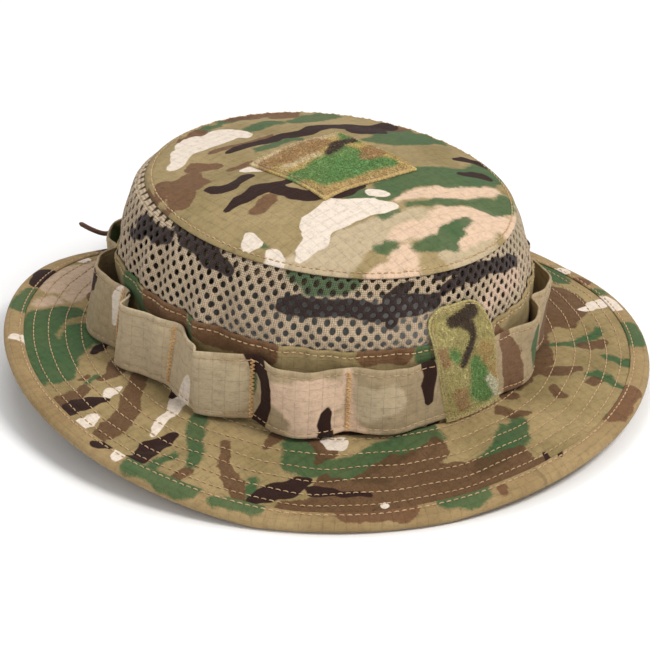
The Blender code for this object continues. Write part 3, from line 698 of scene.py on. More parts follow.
for row in range(HOLE_ROWS):
    for column in range(COLUMNS):
        cu = 2 * column + (row % 2)
        outer = [knot(cu + corner_u[k], row + corner_v[k]) for k in range(SIDES)]
        inner = []
        for k in range(SIDES):
            inner.append(len(places))
            places.append(((cu + hole_u[k]) * PITCH / 2, row + hole_v[k]))
        for k in range(SIDES):
            n = (k + 1) % SIDES
            faces.append((outer[k], inner[k], inner[n], outer[n]))
places = np.array(places)
hole_t, hole_h = turn(places[:, 0]), 0.0365 + places[:, 1] * ROW_STEP
hole_h = np.minimum(hole_h, 0.0766)
flat = np.stack([in_turn(hole_t) * MM_PER_DEGREE, hole_h * 1000], 1)
knit = Finish("knit_mesh", Roughness=0.8, Sheen_Weight=0.08)
where = knit.attribute("cloth", vector=True)
u, v = knit.part(where, 0), knit.part(where, 1)
colour = print_colour(knit, where, shade(206, 184, 154), shade(188, 166, 138), soft=0.15)
wale = (u * (2 * math.pi / 0.00100)).sin() * 0.5 + (v * (2 * math.pi / 0.00085)).sin() * 0.5
yarn = knit.noise(where, 1500.0, 3.0, 0.6)
twist = wale * 0.40 + yarn
# Painted shade and painted highlight: the colour is darkened in the grooves between the wales and
# lightened on their crests, from the same twist signal that the bump below draws; the yarn noise in it
# is the yarn's own tone.
colour = knit.mix(twist.ramp(0.58, 0.14) * 0.75, colour, shade(92, 72, 56), "MULTIPLY")
colour = knit.mix(twist.ramp(0.60, 1.05) * 0.55, colour, shade(226, 214, 196), "SOFT_LIGHT")
knit.set(Base_Color=colour, Normal=knit.relief(twist, 0.00034, 0.9))
mesh_wall = piece("mesh_wall", wall(hole_t, hole_h), faces, knit.material, ("crown_mesh",))
printed(mesh_wall, flat, unrolled(wall_print), np.stack([places[:, 0] * MM_PER_DEGREE / 1000,
                                                        hole_h], 1))
thickness(mesh_wall, 0.0007)

tape = Finish("seam_tape_cloth", Roughness=0.9)
where = tape.attribute("cloth", vector=True)
u, v = tape.part(where, 0), tape.part(where, 1)
bone = (abs((v % 0.0040) - 0.0020) * 1.0 + u).math("MULTIPLY", 2 * math.pi / 0.0011).sin()
tape.set(Base_Color=tape.mix((tape.noise(where, 300.0) + bone * 0.15).ramp(0.2, 0.8),
                             shade(128, 112, 84), shade(92, 78, 58)),
         Normal=tape.relief(bone, 0.0002, 0.7))
tape_h = [0.0686, 0.0690, 0.0705, 0.0722, 0.0740, 0.0756, 0.0764]
t_ring = np.arange(ROUND) * 2 * np.pi / ROUND
points = np.concatenate([wall(t_ring, np.full(ROUND, h), -0.0019) for h in tape_h])
seam_tape = piece("crown_seam_binding", points, ring_faces(len(tape_h), ROUND), tape.material,
                  ("crown_seam_tape",))
printed(seam_tape, np.zeros((len(points), 2)), {},
        np.stack([np.tile(t_ring * 0.086, len(tape_h)), np.repeat(tape_h, ROUND)], 1))
thickness(seam_tape, 0.0005)

# ------------------------------------------------------------------ base band
# A strip of ripstop sewn round the foot of the wall, over the mesh. It is the ground that
# the foliage band and the front patch are sewn to, and has a row of stitches at its top.
band_print = {
    "green": [[(-112, 40, 6), (-106, 38, 6), (-102, 30, 5)], [(-83, 45, 2.5), (-83, 30, 3)],
              [(-16, 42, 4), (-14, 34, 4)], [(-70, 46, 0.8), (-70, 38, 0.8)],
              [(20, 14, 4), (24, 8, 5)], [(100, 20, 9), (108, 30, 8)], [(-160, 30, 8), (-150, 20, 8)],
              [(176, 14, 5), (184, 10, 6)], [(60, 40, 6), (66, 36, 5)]],
    "brown": [[(-98, 42, 8), (-90, 42, 8), (-88, 30, 8)], [(-78, 42, 7), (-66, 42, 7),
                                                           (-58, 40, 5)],
              [(-31, 42, 5), (-22, 42, 6)], [(12, 40, 3), (15, 28, 6), (16, 14, 5)],
              [(40, 20, 8), (48, 12, 8)], [(130, 30, 9), (140, 36, 7)], [(168, 36, 8), (176, 40, 6)],
              [(-130, 20, 8), (-124, 12, 6)]],
    "dark": [[(-13, 30, 2), (-12, 12, 3), (-11, 4, 4)], [(-45, 4, 3), (-30, 3, 2)],
             [(11, 26, 1.4), (12, 18, 1.4)], [(86, 30, 3), (92, 24, 3.5)],
             [(188, 30, 3), (196, 34, 3.5)]],
    "cream": [[(150, 12, 4), (156, 16, 4)]]}
BAND_H = 0.0435
band_rows = [(-0.0020, 0.0011), (0.0000, 0.0011)]
band_rows += [(h, 0.0012) for h in np.linspace(0.003, 0.039, 13)]
band_rows += [(0.0405, 0.0012), (0.0413, 0.0009), (0.0421, 0.0013), (0.0430, 0.0014),
              (0.0437, 0.0012), (0.0439, 0.0006)]
FINE = 360
t_fine = np.arange(FINE) * 2 * np.pi / FINE


def band_point(t, h, off):
    pull = 0.0004 * np.exp(-((h - 0.0413) / 0.004) ** 2) * np.sin(t * 71.0 + 2 * np.sin(t * 13.0))
    return wall(t, h, off + pull)


points = np.concatenate([band_point(t_fine, h, off) for h, off in band_rows])
grid_t = np.tile(t_fine, len(band_rows))
grid_h = np.repeat([h for h, _ in band_rows], FINE)
base_band = piece("base_band_cloth", points, ring_faces(len(band_rows), FINE),
                  ripstop("base_band_ripstop"), ("base_band",))
flat = np.stack([in_turn(grid_t) * MM_PER_DEGREE, grid_h * 1000], 1)
printed(base_band, flat, unrolled(band_print), np.stack([grid_t * 0.094, grid_h], 1))
thickness(base_band, 0.0006)


def wall_row(h, off, start=-180.0, end=180.0):
    """A row of stitches along the wall at a height."""
    def place(u):
        t = turn(start + (end - start) * u)
        p = wall(t, np.full_like(t, h), off)
        up = wall(t, np.full_like(t, h), off + 0.001) - p
        return p, up / np.linalg.norm(up, axis=1)[:, None]
    return place


sewn_piece("base_band_stitches", [sew(wall_row(0.0413, 0.0012), 186)], TAN_THREAD,
           ("base_band_stitch",))

# ------------------------------------------------------------------ sweatband
# A turned strip of the plain lining inside the foot of the crown. It covers the drawcord,
# which runs behind it round the whole head.
lining = Finish("sweatband_cloth", Roughness=0.9, Sheen_Weight=0.15)
where = lining.attribute("cloth", vector=True)
u, v = lining.part(where, 0), lining.part(where, 1)
weave = (u * (2 * math.pi / 0.0007)).sin() * (v * (2 * math.pi / 0.0007)).sin()
tone = lining.noise(where, 60.0, 4.0)
lining.set(Base_Color=lining.mix((tone + weave * 0.12).ramp(0.2, 0.8), shade(128, 112, 80),
                                 shade(150, 134, 100)),
           Normal=lining.relief(weave, 0.00015, 0.5, lining.relief(tone, 0.0012, 0.5)))


def sweat_point(t, h):
    wave = 0.0005 * np.sin(t * 23.0) * np.sin(np.pi * np.clip(h / 0.030, 0, 1))
    x, y = oval(HEAD_A, HEAD_B, t, -0.0031 + wave)
    return np.stack([x, y, FOOT + h + lift(t, h)], -1)


sweat_h = [-0.0024, -0.0018] + list(np.linspace(0.0, 0.0300, 9)) + [0.0312, 0.0316]
points = np.concatenate([sweat_point(t_fine, np.full(FINE, h)) for h in sweat_h])
sweatband = piece("sweatband_cloth", points, ring_faces(len(sweat_h), FINE), lining.material,
                  ("sweatband",))
printed(sweatband, np.zeros((len(points), 2)), {},
        np.stack([np.tile(t_fine * 0.09, len(sweat_h)), np.repeat(sweat_h, FINE)], 1))
thickness(sweatband, 0.0011)

# ------------------------------------------------------------------ brim
# Two plies of ripstop over a stiffener, quilted with rows of stitches a centimetre apart.
# The cloth rises softly between the rows. The brim droops to the table all round but the
# left rear, which has curled up.
BRIM_A, BRIM_B = 0.1535, 0.1555
BIND_W = 0.0095
ROWS = (0.07, 0.28, 0.46, 0.61, 0.77, 0.91)


def edge_fall(t):
    wave = -0.0047 - 0.0030 * np.cos(t) - 0.0060 * np.sin(t) + 0.0055 * np.sin(2 * t)
    wave = wave - 0.0125 * near(t, 180, math.degrees(0.42))
    wave = wave - 0.0035 * near(t, math.degrees(1.95), math.degrees(0.45))
    return wave - 0.0055 * near(t, -math.degrees(0.70), math.degrees(0.45))


def brim_width(t):
    x0, y0 = oval(HEAD_A, HEAD_B, t, 0.0014)
    x1, y1 = oval(BRIM_A, BRIM_B, t)
    return np.hypot(x1 - x0, y1 - y0)


def brim(t, s, up=0.0):
    """The brim's middle surface: s is 0 at the crown and 1 at the outer edge."""
    t, s, up = np.broadcast_arrays(np.asarray(t, float), np.asarray(s, float),
                                   np.asarray(up, float))
    x0, y0 = oval(HEAD_A, HEAD_B, t, 0.0014)
    x1, y1 = oval(BRIM_A, BRIM_B, t)
    fall = np.maximum(edge_fall(t) * np.clip(s, 0.0, None) ** 1.3, -0.0115)
    rise = lift(t, np.zeros_like(t)) * np.clip(1.0 - s * 1.4, 0.0, 1.0)
    ripple = 0.0007 * np.sin(t * 11.0 + 1.0) * np.sin(np.pi * np.clip(s, 0, 1)) ** 2
    ripple = ripple + 0.0005 * np.sin(t * 23.0 + s * 5.0) * np.sin(np.pi * np.clip(s, 0, 1)) ** 2
    ripple = np.where(fall < -0.0110, np.maximum(ripple, 0.0), ripple)
    return np.stack([x0 + (x1 - x0) * s, y0 + (y1 - y0) * s, FOOT + fall + rise + ripple + up], -1)


def quilt(t, s):
    """The swell of the cloth between two rows of stitches, and its puckers along them."""
    share = s / (1.0 - BIND_W / brim_width(t))
    stops = np.array((-0.05,) + ROWS + (1.06,))
    which = np.clip(np.searchsorted(stops, share) - 1, 0, len(stops) - 2)
    part = np.clip((share - stops[which]) / (stops[which + 1] - stops[which]), 0, 1)
    swell = np.sin(np.pi * part) ** 0.6
    tuck = 0.00020 * np.sin(t * 150.0 + which * 1.7 + 2 * np.sin(t * 31.0)) * (1.0 - swell)
    drawn = 0.5 + 0.5 * np.sin(t * 3.0 + which * 1.1 + 0.5)
    drag = 0.00034 * np.sin(t * 97.0 + part * 5.0 + which * 2.1 + 2 * np.sin(t * 13.0)) * drawn
    return 0.00046 * swell + tuck + drag * swell - 0.00014


BRIM_LAYERS = (("khaki", KHAKI), ("pink", shade(196, 170, 146)), ("green", shade(64, 92, 56)),
               ("brown", shade(90, 58, 38)), ("cream", CREAM), ("dark", DARK))
brim_print = {
    "pink": [[(-160, .55, 9), (-151, .66, 12), (-144, .78, 9)], [(-150, .44, 7), (-141, .52, 6)],
             [(-138, .66, 4), (-135, .78, 4)], [(172, .30, 9), (180, .40, 8)]],
    "green": [[(-133, .52, 7), (-129, .64, 10), (-123, .78, 10), (-116, .72, 10), (-110, .77, 8),
               (-106, .84, 5)], [(-123, .38, 8), (-117, .50, 9), (-111, .60, 8), (-106, .70, 6)],
              [(-119, .26, 4)], [(-103, .40, 2), (-101, .52, 2.4)],
              [(-76, .05, 3.6), (-74, .20, 4), (-71, .36, 4), (-68, .50, 3.6), (-66, .62, 3.4)],
              [(-71, .62, 2.4), (-72, .74, 2.6), (-72, .88, 3)],
              [(-51, .06, 3), (-48, .19, 6), (-46, .32, 8.5), (-40, .42, 7.5), (-33, .36, 7),
               (-26, .24, 7.5), (-19, .13, 6.5), (-13, .06, 4)], [(-13, .17, 3.4)],
              [(-34, .52, 2.6), (-28, .53, 2.6)], [(-54, .62, 2.6), (-53, .74, 3.4), (-52, .86, 3)],
              [(-8, .64, 3.4), (-5, .56, 6.5), (0, .50, 7.5), (5, .43, 7), (9, .35, 4.4),
               (10, .28, 2.4)], [(36, .52, 2.4), (37, .64, 3.4), (34, .78, 3.4)],
              [(45, .66, 3), (43, .80, 5)],
              [(47, .13, 2), (48, .28, 2.6), (50, .42, 3.2), (54, .54, 3.2), (57, .64, 2.4)],
              [(19, .88, 2.6), (23, .86, 2)], [(100, .28, 8), (106, .44, 10), (112, .64, 8)],
              [(145, .24, 9), (153, .44, 11), (158, .60, 9)], [(-176, .66, 9), (-168, .50, 8)],
              [(82, .74, 5), (90, .80, 6)], [(126, .78, 8), (134, .72, 7)]],
    "brown": [[(-129, .16, 4), (-125, .09, 6.5), (-118, .05, 6), (-110, .09, 5), (-106, .19, 5.5),
               (-102, .30, 4), (-101, .40, 2.6)], [(-104, .48, 2), (-103, .58, 1.6)],
              [(-101, .04, 3.4), (-97, .17, 4), (-92, .32, 5), (-88, .45, 5.5), (-86, .60, 5.5),
               (-85, .75, 5), (-84, .86, 4)], [(-99, .58, 4), (-98, .70, 5), (-97, .84, 4.4)],
              [(-64, .32, 2.4), (-62, .45, 2.8), (-61, .58, 3), (-57, .69, 4.4), (-55, .82, 3.6)],
              [(-66, .70, 2.8), (-67, .82, 3)], [(-53, .02, 4), (-54, .14, 2.8), (-55, .24, 1.8)],
              [(-46, .04, 5), (-42, .12, 7), (-41, .22, 5), (-42, .31, 2.2)],
              [(-14, .22, 3.4), (-16, .31, 7), (-21, .42, 8.5), (-30, .50, 7.5), (-22, .52, 10)],
              [(-41, .55, 5), (-36, .62, 7), (-26, .64, 11), (-15, .62, 9), (-6, .66, 8),
               (1, .65, 4.4)],
              [(-47, .80, 4), (-38, .76, 7), (-26, .78, 9), (-14, .78, 9), (-3, .78, 7),
               (3, .82, 4)], [(9, .15, 3.4), (10, .22, 3.2), (12.5, .29, 2.6)],
              [(16, .02, 4), (17.5, .08, 3.2)], [(23, .05, 3.4), (30, .03, 5)],
              [(32, .06, 6), (39, .10, 7.5), (46, .06, 7), (53, .06, 6)],
              [(33, .20, 4.4), (35, .32, 3.8), (37.5, .43, 2.2)], [(27, .33, 2.6), (25, .42, 2.8)],
              [(32, .59, 2.8), (35, .61, 2.6)],
              [(56, .12, 6), (62, .22, 9), (69, .32, 11), (75, .44, 12), (72, .55, 9),
               (66, .46, 9), (60, .34, 7)], [(49, .48, 3.6), (50, .56, 4), (52, .64, 2.4)],
              [(88, .10, 8), (97, .12, 7)], [(94, .60, 9), (101, .78, 8)],
              [(120, .20, 8), (128, .36, 12), (136, .56, 10)],
              [(170, .60, 10), (178, .70, 11), (187, .60, 8)], [(-150, .22, 8), (-142, .30, 7)],
              [(-172, .16, 9), (-164, .26, 7)], [(146, .84, 7), (156, .82, 6)]],
    "cream": [[(-96.4, .35, 1.4), (-95.4, .42, 3), (-94.2, .49, 1.5)],
              [(-90.4, .67, 1.4), (-89.6, .76, 3.8), (-89.5, .85, 4)],
              [(-83.6, .0, 3.8), (-82.4, .13, 3.8), (-81, .26, 3.2), (-80, .37, 3.2),
               (-79, .46, 2.8), (-78.4, .52, 1.6)], [(-41, .10, 3.6), (-38, .11, 4)],
              [(-29.6, .77, 2.4)], [(66, .57, 1.4), (67, .66, 2.8), (68.5, .76, 3.8),
                                    (70, .85, 3.6)],
              [(-149, .10, 4), (-143, .05, 3)], [(118, .62, 3.4), (122, .70, 3)],
              [(-160, .84, 4)], [(162, .20, 3.4), (167, .24, 3)]],
    "dark": [[(-118, .16, 2.2), (-115.4, .26, 3.6), (-113.4, .33, 2)], [(-86, .02, 3),
                                                                      (-85, .09, 1.8)],
             [(-93.6, .53, 2.2), (-94, .62, 4), (-95, .75, 4.6), (-94, .84, 3)],
             [(-75, .41, 1.6), (-75, .53, 4), (-76, .65, 4.4), (-75, .79, 3.8), (-77, .86, 3)],
             [(-45, .52, 3.2), (-47, .60, 4), (-50, .70, 3.8), (-52.5, .80, 2.8)],
             [(-43, .62, 3), (-37, .635, 2), (-32, .67, 1.2)], [(4, .84, 1.6), (4.4, .76, 1.2)],
             [(-161, .46, 5), (-158, .52, 4)], [(88, .30, 4), (92, .44, 5), (96, .56, 4)],
             [(140, .24, 3.4), (147, .32, 4.4), (152, .30, 3)], [(112, .82, 3.4), (118, .86, 3)],
             [(-184, .82, 3.4), (-176, .78, 4)], [(172, .12, 3), (180, .18, 3.6)]]}


def on_brim(shapes):
    """A print laid out in degrees and shares of the brim's width, as millimetres on the plan."""
    out = {}
    for layer, chains in shapes.items():
        out[layer] = []
        for chain in chains:
            p = brim(turn(np.array([c[0] for c in chain])), np.array([c[1] for c in chain]))
            out[layer].append([(x * 1000, y * 1000, c[2]) for (x, y, _), c in zip(p, chain)])
    return out


WIDE = 480
t_wide = np.arange(WIDE) * 2 * np.pi / WIDE
inner_share = 1.0 - (BIND_W - 0.0040) / brim_width(t_wide)
BRIM_STEPS = 60
for face, up, flip in (("top", 0.0016, False), ("under", -0.0016, True)):
    rows = []
    for n in range(BRIM_STEPS + 1):
        s = inner_share * (1.0 - n / BRIM_STEPS)
        swell = quilt(t_wide, s)
        rows.append(brim(t_wide, s, up + swell if not flip else up - swell * 0.7))
    points = np.concatenate(rows)
    faces = ring_faces(len(rows), WIDE)
    if flip:
        faces = [f[::-1] for f in faces]
    ply = piece(f"brim_{face}_cloth", points, faces,
                ripstop(f"brim_{face}_ripstop", base=shade(168, 146, 104),
                        base_deep=shade(136, 120, 80), crumpled=0.85, layers=BRIM_LAYERS),
                ("brim_top_ply",) if face == "top" else ("brim_under_ply",))
    flat = points[:, :2].copy()
    if flip:
        flat = flat[:, ::-1] * (1, -1)
    printed(ply, flat * 1000, on_brim(brim_print), points[:, :2])
    thickness(ply, 0.0006)


def brim_row(row, up, side=1.0):
    def place(u):
        t = u * 2 * np.pi
        s = row * (1.0 - BIND_W / brim_width(t))
        p = brim(t, s, up)
        step = brim(t, s + 0.03, up) - p
        tangent = brim(t + 0.01, s, up) - p
        normal = np.cross(step, tangent)
        normal /= np.linalg.norm(normal, axis=1)[:, None]
        return p, normal * np.sign(normal[:, 2:3]) * side
    return place


quilting, under_quilting = [], []
for row in ROWS:
    reach = HEAD_A + (BRIM_A - BIND_W - HEAD_A) * row
    stitches = int(2 * math.pi * reach / 0.0034)
    quilting.append(sew(brim_row(row, 0.0017), stitches, radius=0.00028))
    under_quilting.append(sew(brim_row(row, -0.0017, -1.0), stitches, radius=0.00026))
sewn_piece("brim_quilting", quilting, TAN_THREAD, tuple(f"brim_stitch_{n}" for n in range(1, 7)))
sewn_piece("brim_under_quilting", under_quilting, TAN_THREAD)

stiffener = Finish("stiffener_felt", Roughness=0.95)
where = stiffener.node("ShaderNodeTexCoord").outputs["Object"]
stiffener.set(Base_Color=stiffener.mix(stiffener.noise(where, 500.0, 4.0), shade(210, 204, 190),
                                       shade(188, 180, 164)),
              Normal=stiffener.relief(stiffener.noise(where, 900.0), 0.0003, 0.6))
core_rows = [brim(t_wide, inner_share * k / 24 * 0.985 + 0.006, 0.0004) for k in range(25)]
core = piece("brim_stiffener", np.concatenate(core_rows),
             [f[::-1] for f in ring_faces(25, WIDE)], stiffener.material,
             ("brim_core",))
thickness(core, 0.0008)

# ------------------------------------------------------------------ brim binding
# A tape of the same printed cloth, folded over the raw edge of the brim and sewn through
# near its inner edges. It puckers a little between the stitches.
bind_print = {
    "green": [[(-138, 2, 7), (-132, 2, 7)], [(-74, 3, 7), (-64, 3, 7)], [(-58, 6, 4), (-52, 3, 5)],
              [(-18, 3, 6), (-12, 3, 5)], [(52, 3, 6), (58, 3, 6)], [(74, 4, 5)], [(110, 3, 8)],
              [(160, 3, 9)]],
    "brown": [[(-36, 3, 6), (-26, 3, 7)], [(-8, 6, 3)], [(24, 3, 7), (32, 3, 7)], [(80, 3, 5)],
              [(130, 3, 9)], [(190, 3, 9)]],
    "cream": [[(-120, 4, 4), (-118, -2, 4)], [(-78.5, 0, 2.6), (-78, 6, 2.6)], [(66, 2, 4),
                                                                              (70, 2, 5)],
              [(86, 2, 5)], [(146, 2, 4)]],
    "dark": [[(-148, 3, 6), (-143, 2, 5)], [(-82.5, 6, 3), (-81, 0, 3)], [(6, 4, 1.2), (7, 0, 1.4)],
             [(120, 3, 5)], [(-170, 3, 6)]]}
section = []
for back, up in ((BIND_W - 0.0002, 0.0018), (BIND_W, 0.0024), (BIND_W - 0.0005, 0.00285),
                 (BIND_W - 0.0013, 0.0027), (BIND_W - 0.0018, 0.0024), (BIND_W - 0.0025, 0.0027),
                 (BIND_W - 0.0038, 0.0029), (BIND_W * 0.42, 0.00285), (0.0022, 0.0026),
                 (0.0010, 0.0020), (0.0003, 0.0011), (0.0000, 0.0000), (0.0003, -0.0011),
                 (0.0010, -0.0020), (0.0022, -0.0025), (BIND_W * 0.42, -0.0026),
                 (BIND_W - 0.0025, -0.0026), (BIND_W - 0.0018, -0.0023),
                 (BIND_W - 0.0010, -0.0026), (BIND_W, -0.0023), (BIND_W - 0.0002, -0.0018)):
    section.append((back, up))
rows, flat_rows = [], []
run = 0.0
for n, (back_off, up) in enumerate(section):
    pucker = 0.00014 * np.sin(t_wide * 187.0 + 2 * np.sin(t_wide * 21.0))
    pucker = pucker * math.exp(-((back_off - BIND_W + 0.0018) / 0.0022) ** 2)
    rows.append(brim(t_wide, 1.0 - back_off / brim_width(t_wide), up + pucker * (1 if up > 0 else -1)))
    if n:
        run += math.hypot(back_off - section[n - 1][0], up - section[n - 1][1])
    flat_rows.append(np.stack([t_wide, np.full(WIDE, run)], 1))
points = np.concatenate(rows)
flat = np.concatenate(flat_rows)
binding = piece("binding_tape", points, [f[::-1] for f in ring_faces(len(rows), WIDE)],
                ripstop("binding_ripstop", base=shade(166, 142, 102), base_deep=shade(148, 124, 86)),
                ("brim_binding",))
BIND_PER_DEGREE = 2.7
spread = {layer: [[((d + lap) * BIND_PER_DEGREE, h, r) for d, h, r in chain]
                  for chain in chains for lap in (-360, 0, 360)]
          for layer, chains in bind_print.items()}
printed(binding, np.stack([in_turn(flat[:, 0]) * BIND_PER_DEGREE, flat[:, 1] * 1000], 1), spread,
        np.stack([flat[:, 0] * 0.155, flat[:, 1]], 1))
thickness(binding, 0.0005)


def binding_row(up, side):
    def place(u):
        t = u * 2 * np.pi
        s = 1.0 - (BIND_W - 0.0018) / brim_width(t)
        p = brim(t, s, up)
        step = brim(t, s + 0.02, up) - p
        tangent = brim(t + 0.01, s, up) - p
        normal = np.cross(step, tangent)
        normal /= np.linalg.norm(normal, axis=1)[:, None]
        return p, normal * np.sign(normal[:, 2:3]) * side
    return place


sewn_piece("binding_stitches", [sew(binding_row(0.0025, 1.0), 268),
                                sew(binding_row(-0.0024, -1.0), 268, rise=0.0001)], TAN_THREAD,
           ("binding_stitch",))

# ------------------------------------------------------------------ foliage band
# Two strips of doubled ripstop, 32 mm wide and folded and stitched along both edges. Each
# is bar-tacked to the band below at intervals, and stands off between the tacks in loops.
strip_print = {
    "khaki": [[(-78, 20, 20), (-100, 20, 20)], [(-68, 20, 12)], [(-32, 20, 9), (-26, 22, 8)],
              [(60, 20, 16), (80, 20, 12)], [(140, 20, 16)]],
    "pink": [[(-53, 24, 7), (-46, 22, 12), (-40, 24, 7)], [(-46, 8, 8), (-38, 7, 5), (-30, 4, 3)],
             [(-36, 32, 3), (-36, 12, 3)], [(-33, 6, 2), (-28, 5, 1.6)], [(100, 24, 8)]],
    "green": [[(28, 24, 6), (31, 10, 6)], [(-150, 30, 7), (-154, 12, 7)],
              [(110, 16, 8), (118, 28, 7)], [(-62, 16, 1), (-61, 30, 2)]],
    "brown": [[(14, 36, 4), (17, 22, 7), (18, 8, 6)], [(-128, 24, 4), (-124, 32, 3)],
              [(-160, 20, 8)], [(90, 30, 6), (94, 12, 6)], [(44, 10, 7), (50, 24, 6)],
              [(150, 8, 5)]],
    "cream": [[(-79, 18, 2.6), (-80, 12, 3.6), (-80.5, 5, 3.8)],
              [(-113, 34, 2.6), (-114, 27, 4), (-114, 19, 2.4)], [(126, 12, 4)]],
    "dark": [[(-63.5, 38, 2), (-60, 35, 4.4), (-57, 27, 3.4), (-57, 14, 3.2), (-60, 4, 3.6)],
             [(-41.5, 20, 1), (-41.5, 12, 2.6), (-42, 4, 3.6)],
             [(-14.8, 38, 3), (-14.2, 28, 3.2), (-12.6, 16, 2)], [(-124, 33, 3), (-125, 27, 2.6)],
             [(-108.6, 34, 1.6), (-109, 26, 1.2)], [(-61, 30, 2), (-62, 36, 2)],
             [(70, 34, 3), (73, 22, 3.4)], [(132, 34, 3), (136, 24, 4)],
             [(-150, 8, 3), (-146, 16, 3)]]}
LOOP_LOW, LOOP_H = 0.0045, 0.0320
TACKS = (14.0, 36.0, 62.0, 88.0, 112.0, 138.0, 164.0)
# Each strip's line over the wall, from under the front patch to the back: degrees, then how
# far its lower and its upper edge stand off, in millimetres.
strip_lines = {
    "left": [(5, 1.7, 1.7), (10, 1.8, 1.8), (14, 1.9, 1.9), (17, 2.4, 2.6), (21, 4.2, 4.6),
             (26, 5.2, 5.6), (31, 4.2, 4.0), (34.5, 2.1, 2.1), (36, 1.9, 1.9), (37.5, 2.1, 2.3),
             (41, 5.0, 4.8), (45.5, 7.4, 6.8), (50, 8.4, 7.8), (54.5, 7.2, 6.4), (58.5, 4.2, 3.6),
             (60.8, 2.3, 2.1), (62, 2.0, 1.9), (63.4, 2.6, 2.6), (67, 5.6, 5.4), (71.5, 9.0, 8.4),
             (74.6, 10.4, 10.6), (75.9, 10.2, 11.0), (76.3, 9.4, 9.6), (77.8, 8.4, 6.4),
             (81, 7.4, 3.6), (85.4, 6.0, 1.9), (88, 5.0, 1.7), (90.4, 5.6, 2.3), (95, 8.6, 4.8),
             (100, 12.4, 7.6), (103.6, 14.4, 9.6), (105.2, 14.8, 9.4), (105.9, 13.8, 7.4),
             (107.4, 11.6, 4.0), (109.8, 9.6, 2.2), (112, 9.0, 1.7), (114, 11.4, 2.6),
             (118, 16.4, 5.6), (122, 19.4, 8.0), (127, 19.8, 9.6), (131, 17.0, 9.4),
             (134.4, 10.6, 6.0), (136.6, 6.0, 2.6), (138, 5.2, 1.9), (139.8, 7.4, 3.4),
             (143, 12.6, 8.4), (147.5, 16.4, 12.4), (152, 15.8, 12.6), (156.5, 11.0, 8.6),
             (160.8, 4.6, 3.6), (163, 2.3, 2.1), (164, 1.9, 1.9), (165.4, 1.8, 1.8)],
    "right": [(5, 1.7, 1.7), (10, 1.8, 1.8), (14, 1.9, 1.9), (16, 2.3, 2.3), (20, 4.6, 5.2),
              (25, 6.6, 7.8), (30, 6.0, 6.8), (34, 2.6, 2.8), (36, 1.9, 1.9), (38, 2.6, 2.8),
              (43, 5.6, 6.6), (49, 7.0, 8.2), (55, 5.6, 6.4), (60, 2.3, 2.4), (62, 1.9, 1.9),
              (64, 2.4, 2.6), (69, 5.4, 6.4), (75, 7.0, 8.2), (81, 5.4, 6.2), (86, 2.3, 2.4),
              (88, 1.9, 1.9), (90, 2.4, 2.6), (95, 5.4, 6.2), (100, 7.0, 8.2), (106, 5.2, 5.8),
              (110, 2.3, 2.4), (112, 1.9, 1.9), (114, 2.4, 2.6), (119, 5.4, 6.2), (125, 7.0, 8.0),
              (131, 5.4, 6.0), (136, 2.3, 2.4), (138, 1.9, 1.9), (140, 2.4, 2.6), (145, 5.4, 6.2),
              (151, 7.0, 8.0), (157, 5.2, 5.8), (162, 2.2, 2.2), (164, 1.9, 1.9),
              (165.4, 1.8, 1.8)]}
strip_cloth = ripstop("strip_ripstop", base=shade(182, 162, 130), base_deep=shade(160, 142, 112),
                      crumpled=0.5)
satin = thread_finish("bar_tack_thread", shade(236, 196, 132), shade(186, 136, 82))
ACROSS = np.array([0.0, 0.012, 0.045, 0.075, 0.11, 0.2, 0.35, 0.5, 0.65, 0.8, 0.89, 0.925, 0.955,
                   0.988, 1.0])
EDGE_PUFF = np.array([0.0, 0.3, 0.45, 0.1, 0.35, 0.3, 0.2, 0.15, 0.2, 0.3, 0.35, 0.1, 0.45, 0.3,
                      0.0]) / 1000
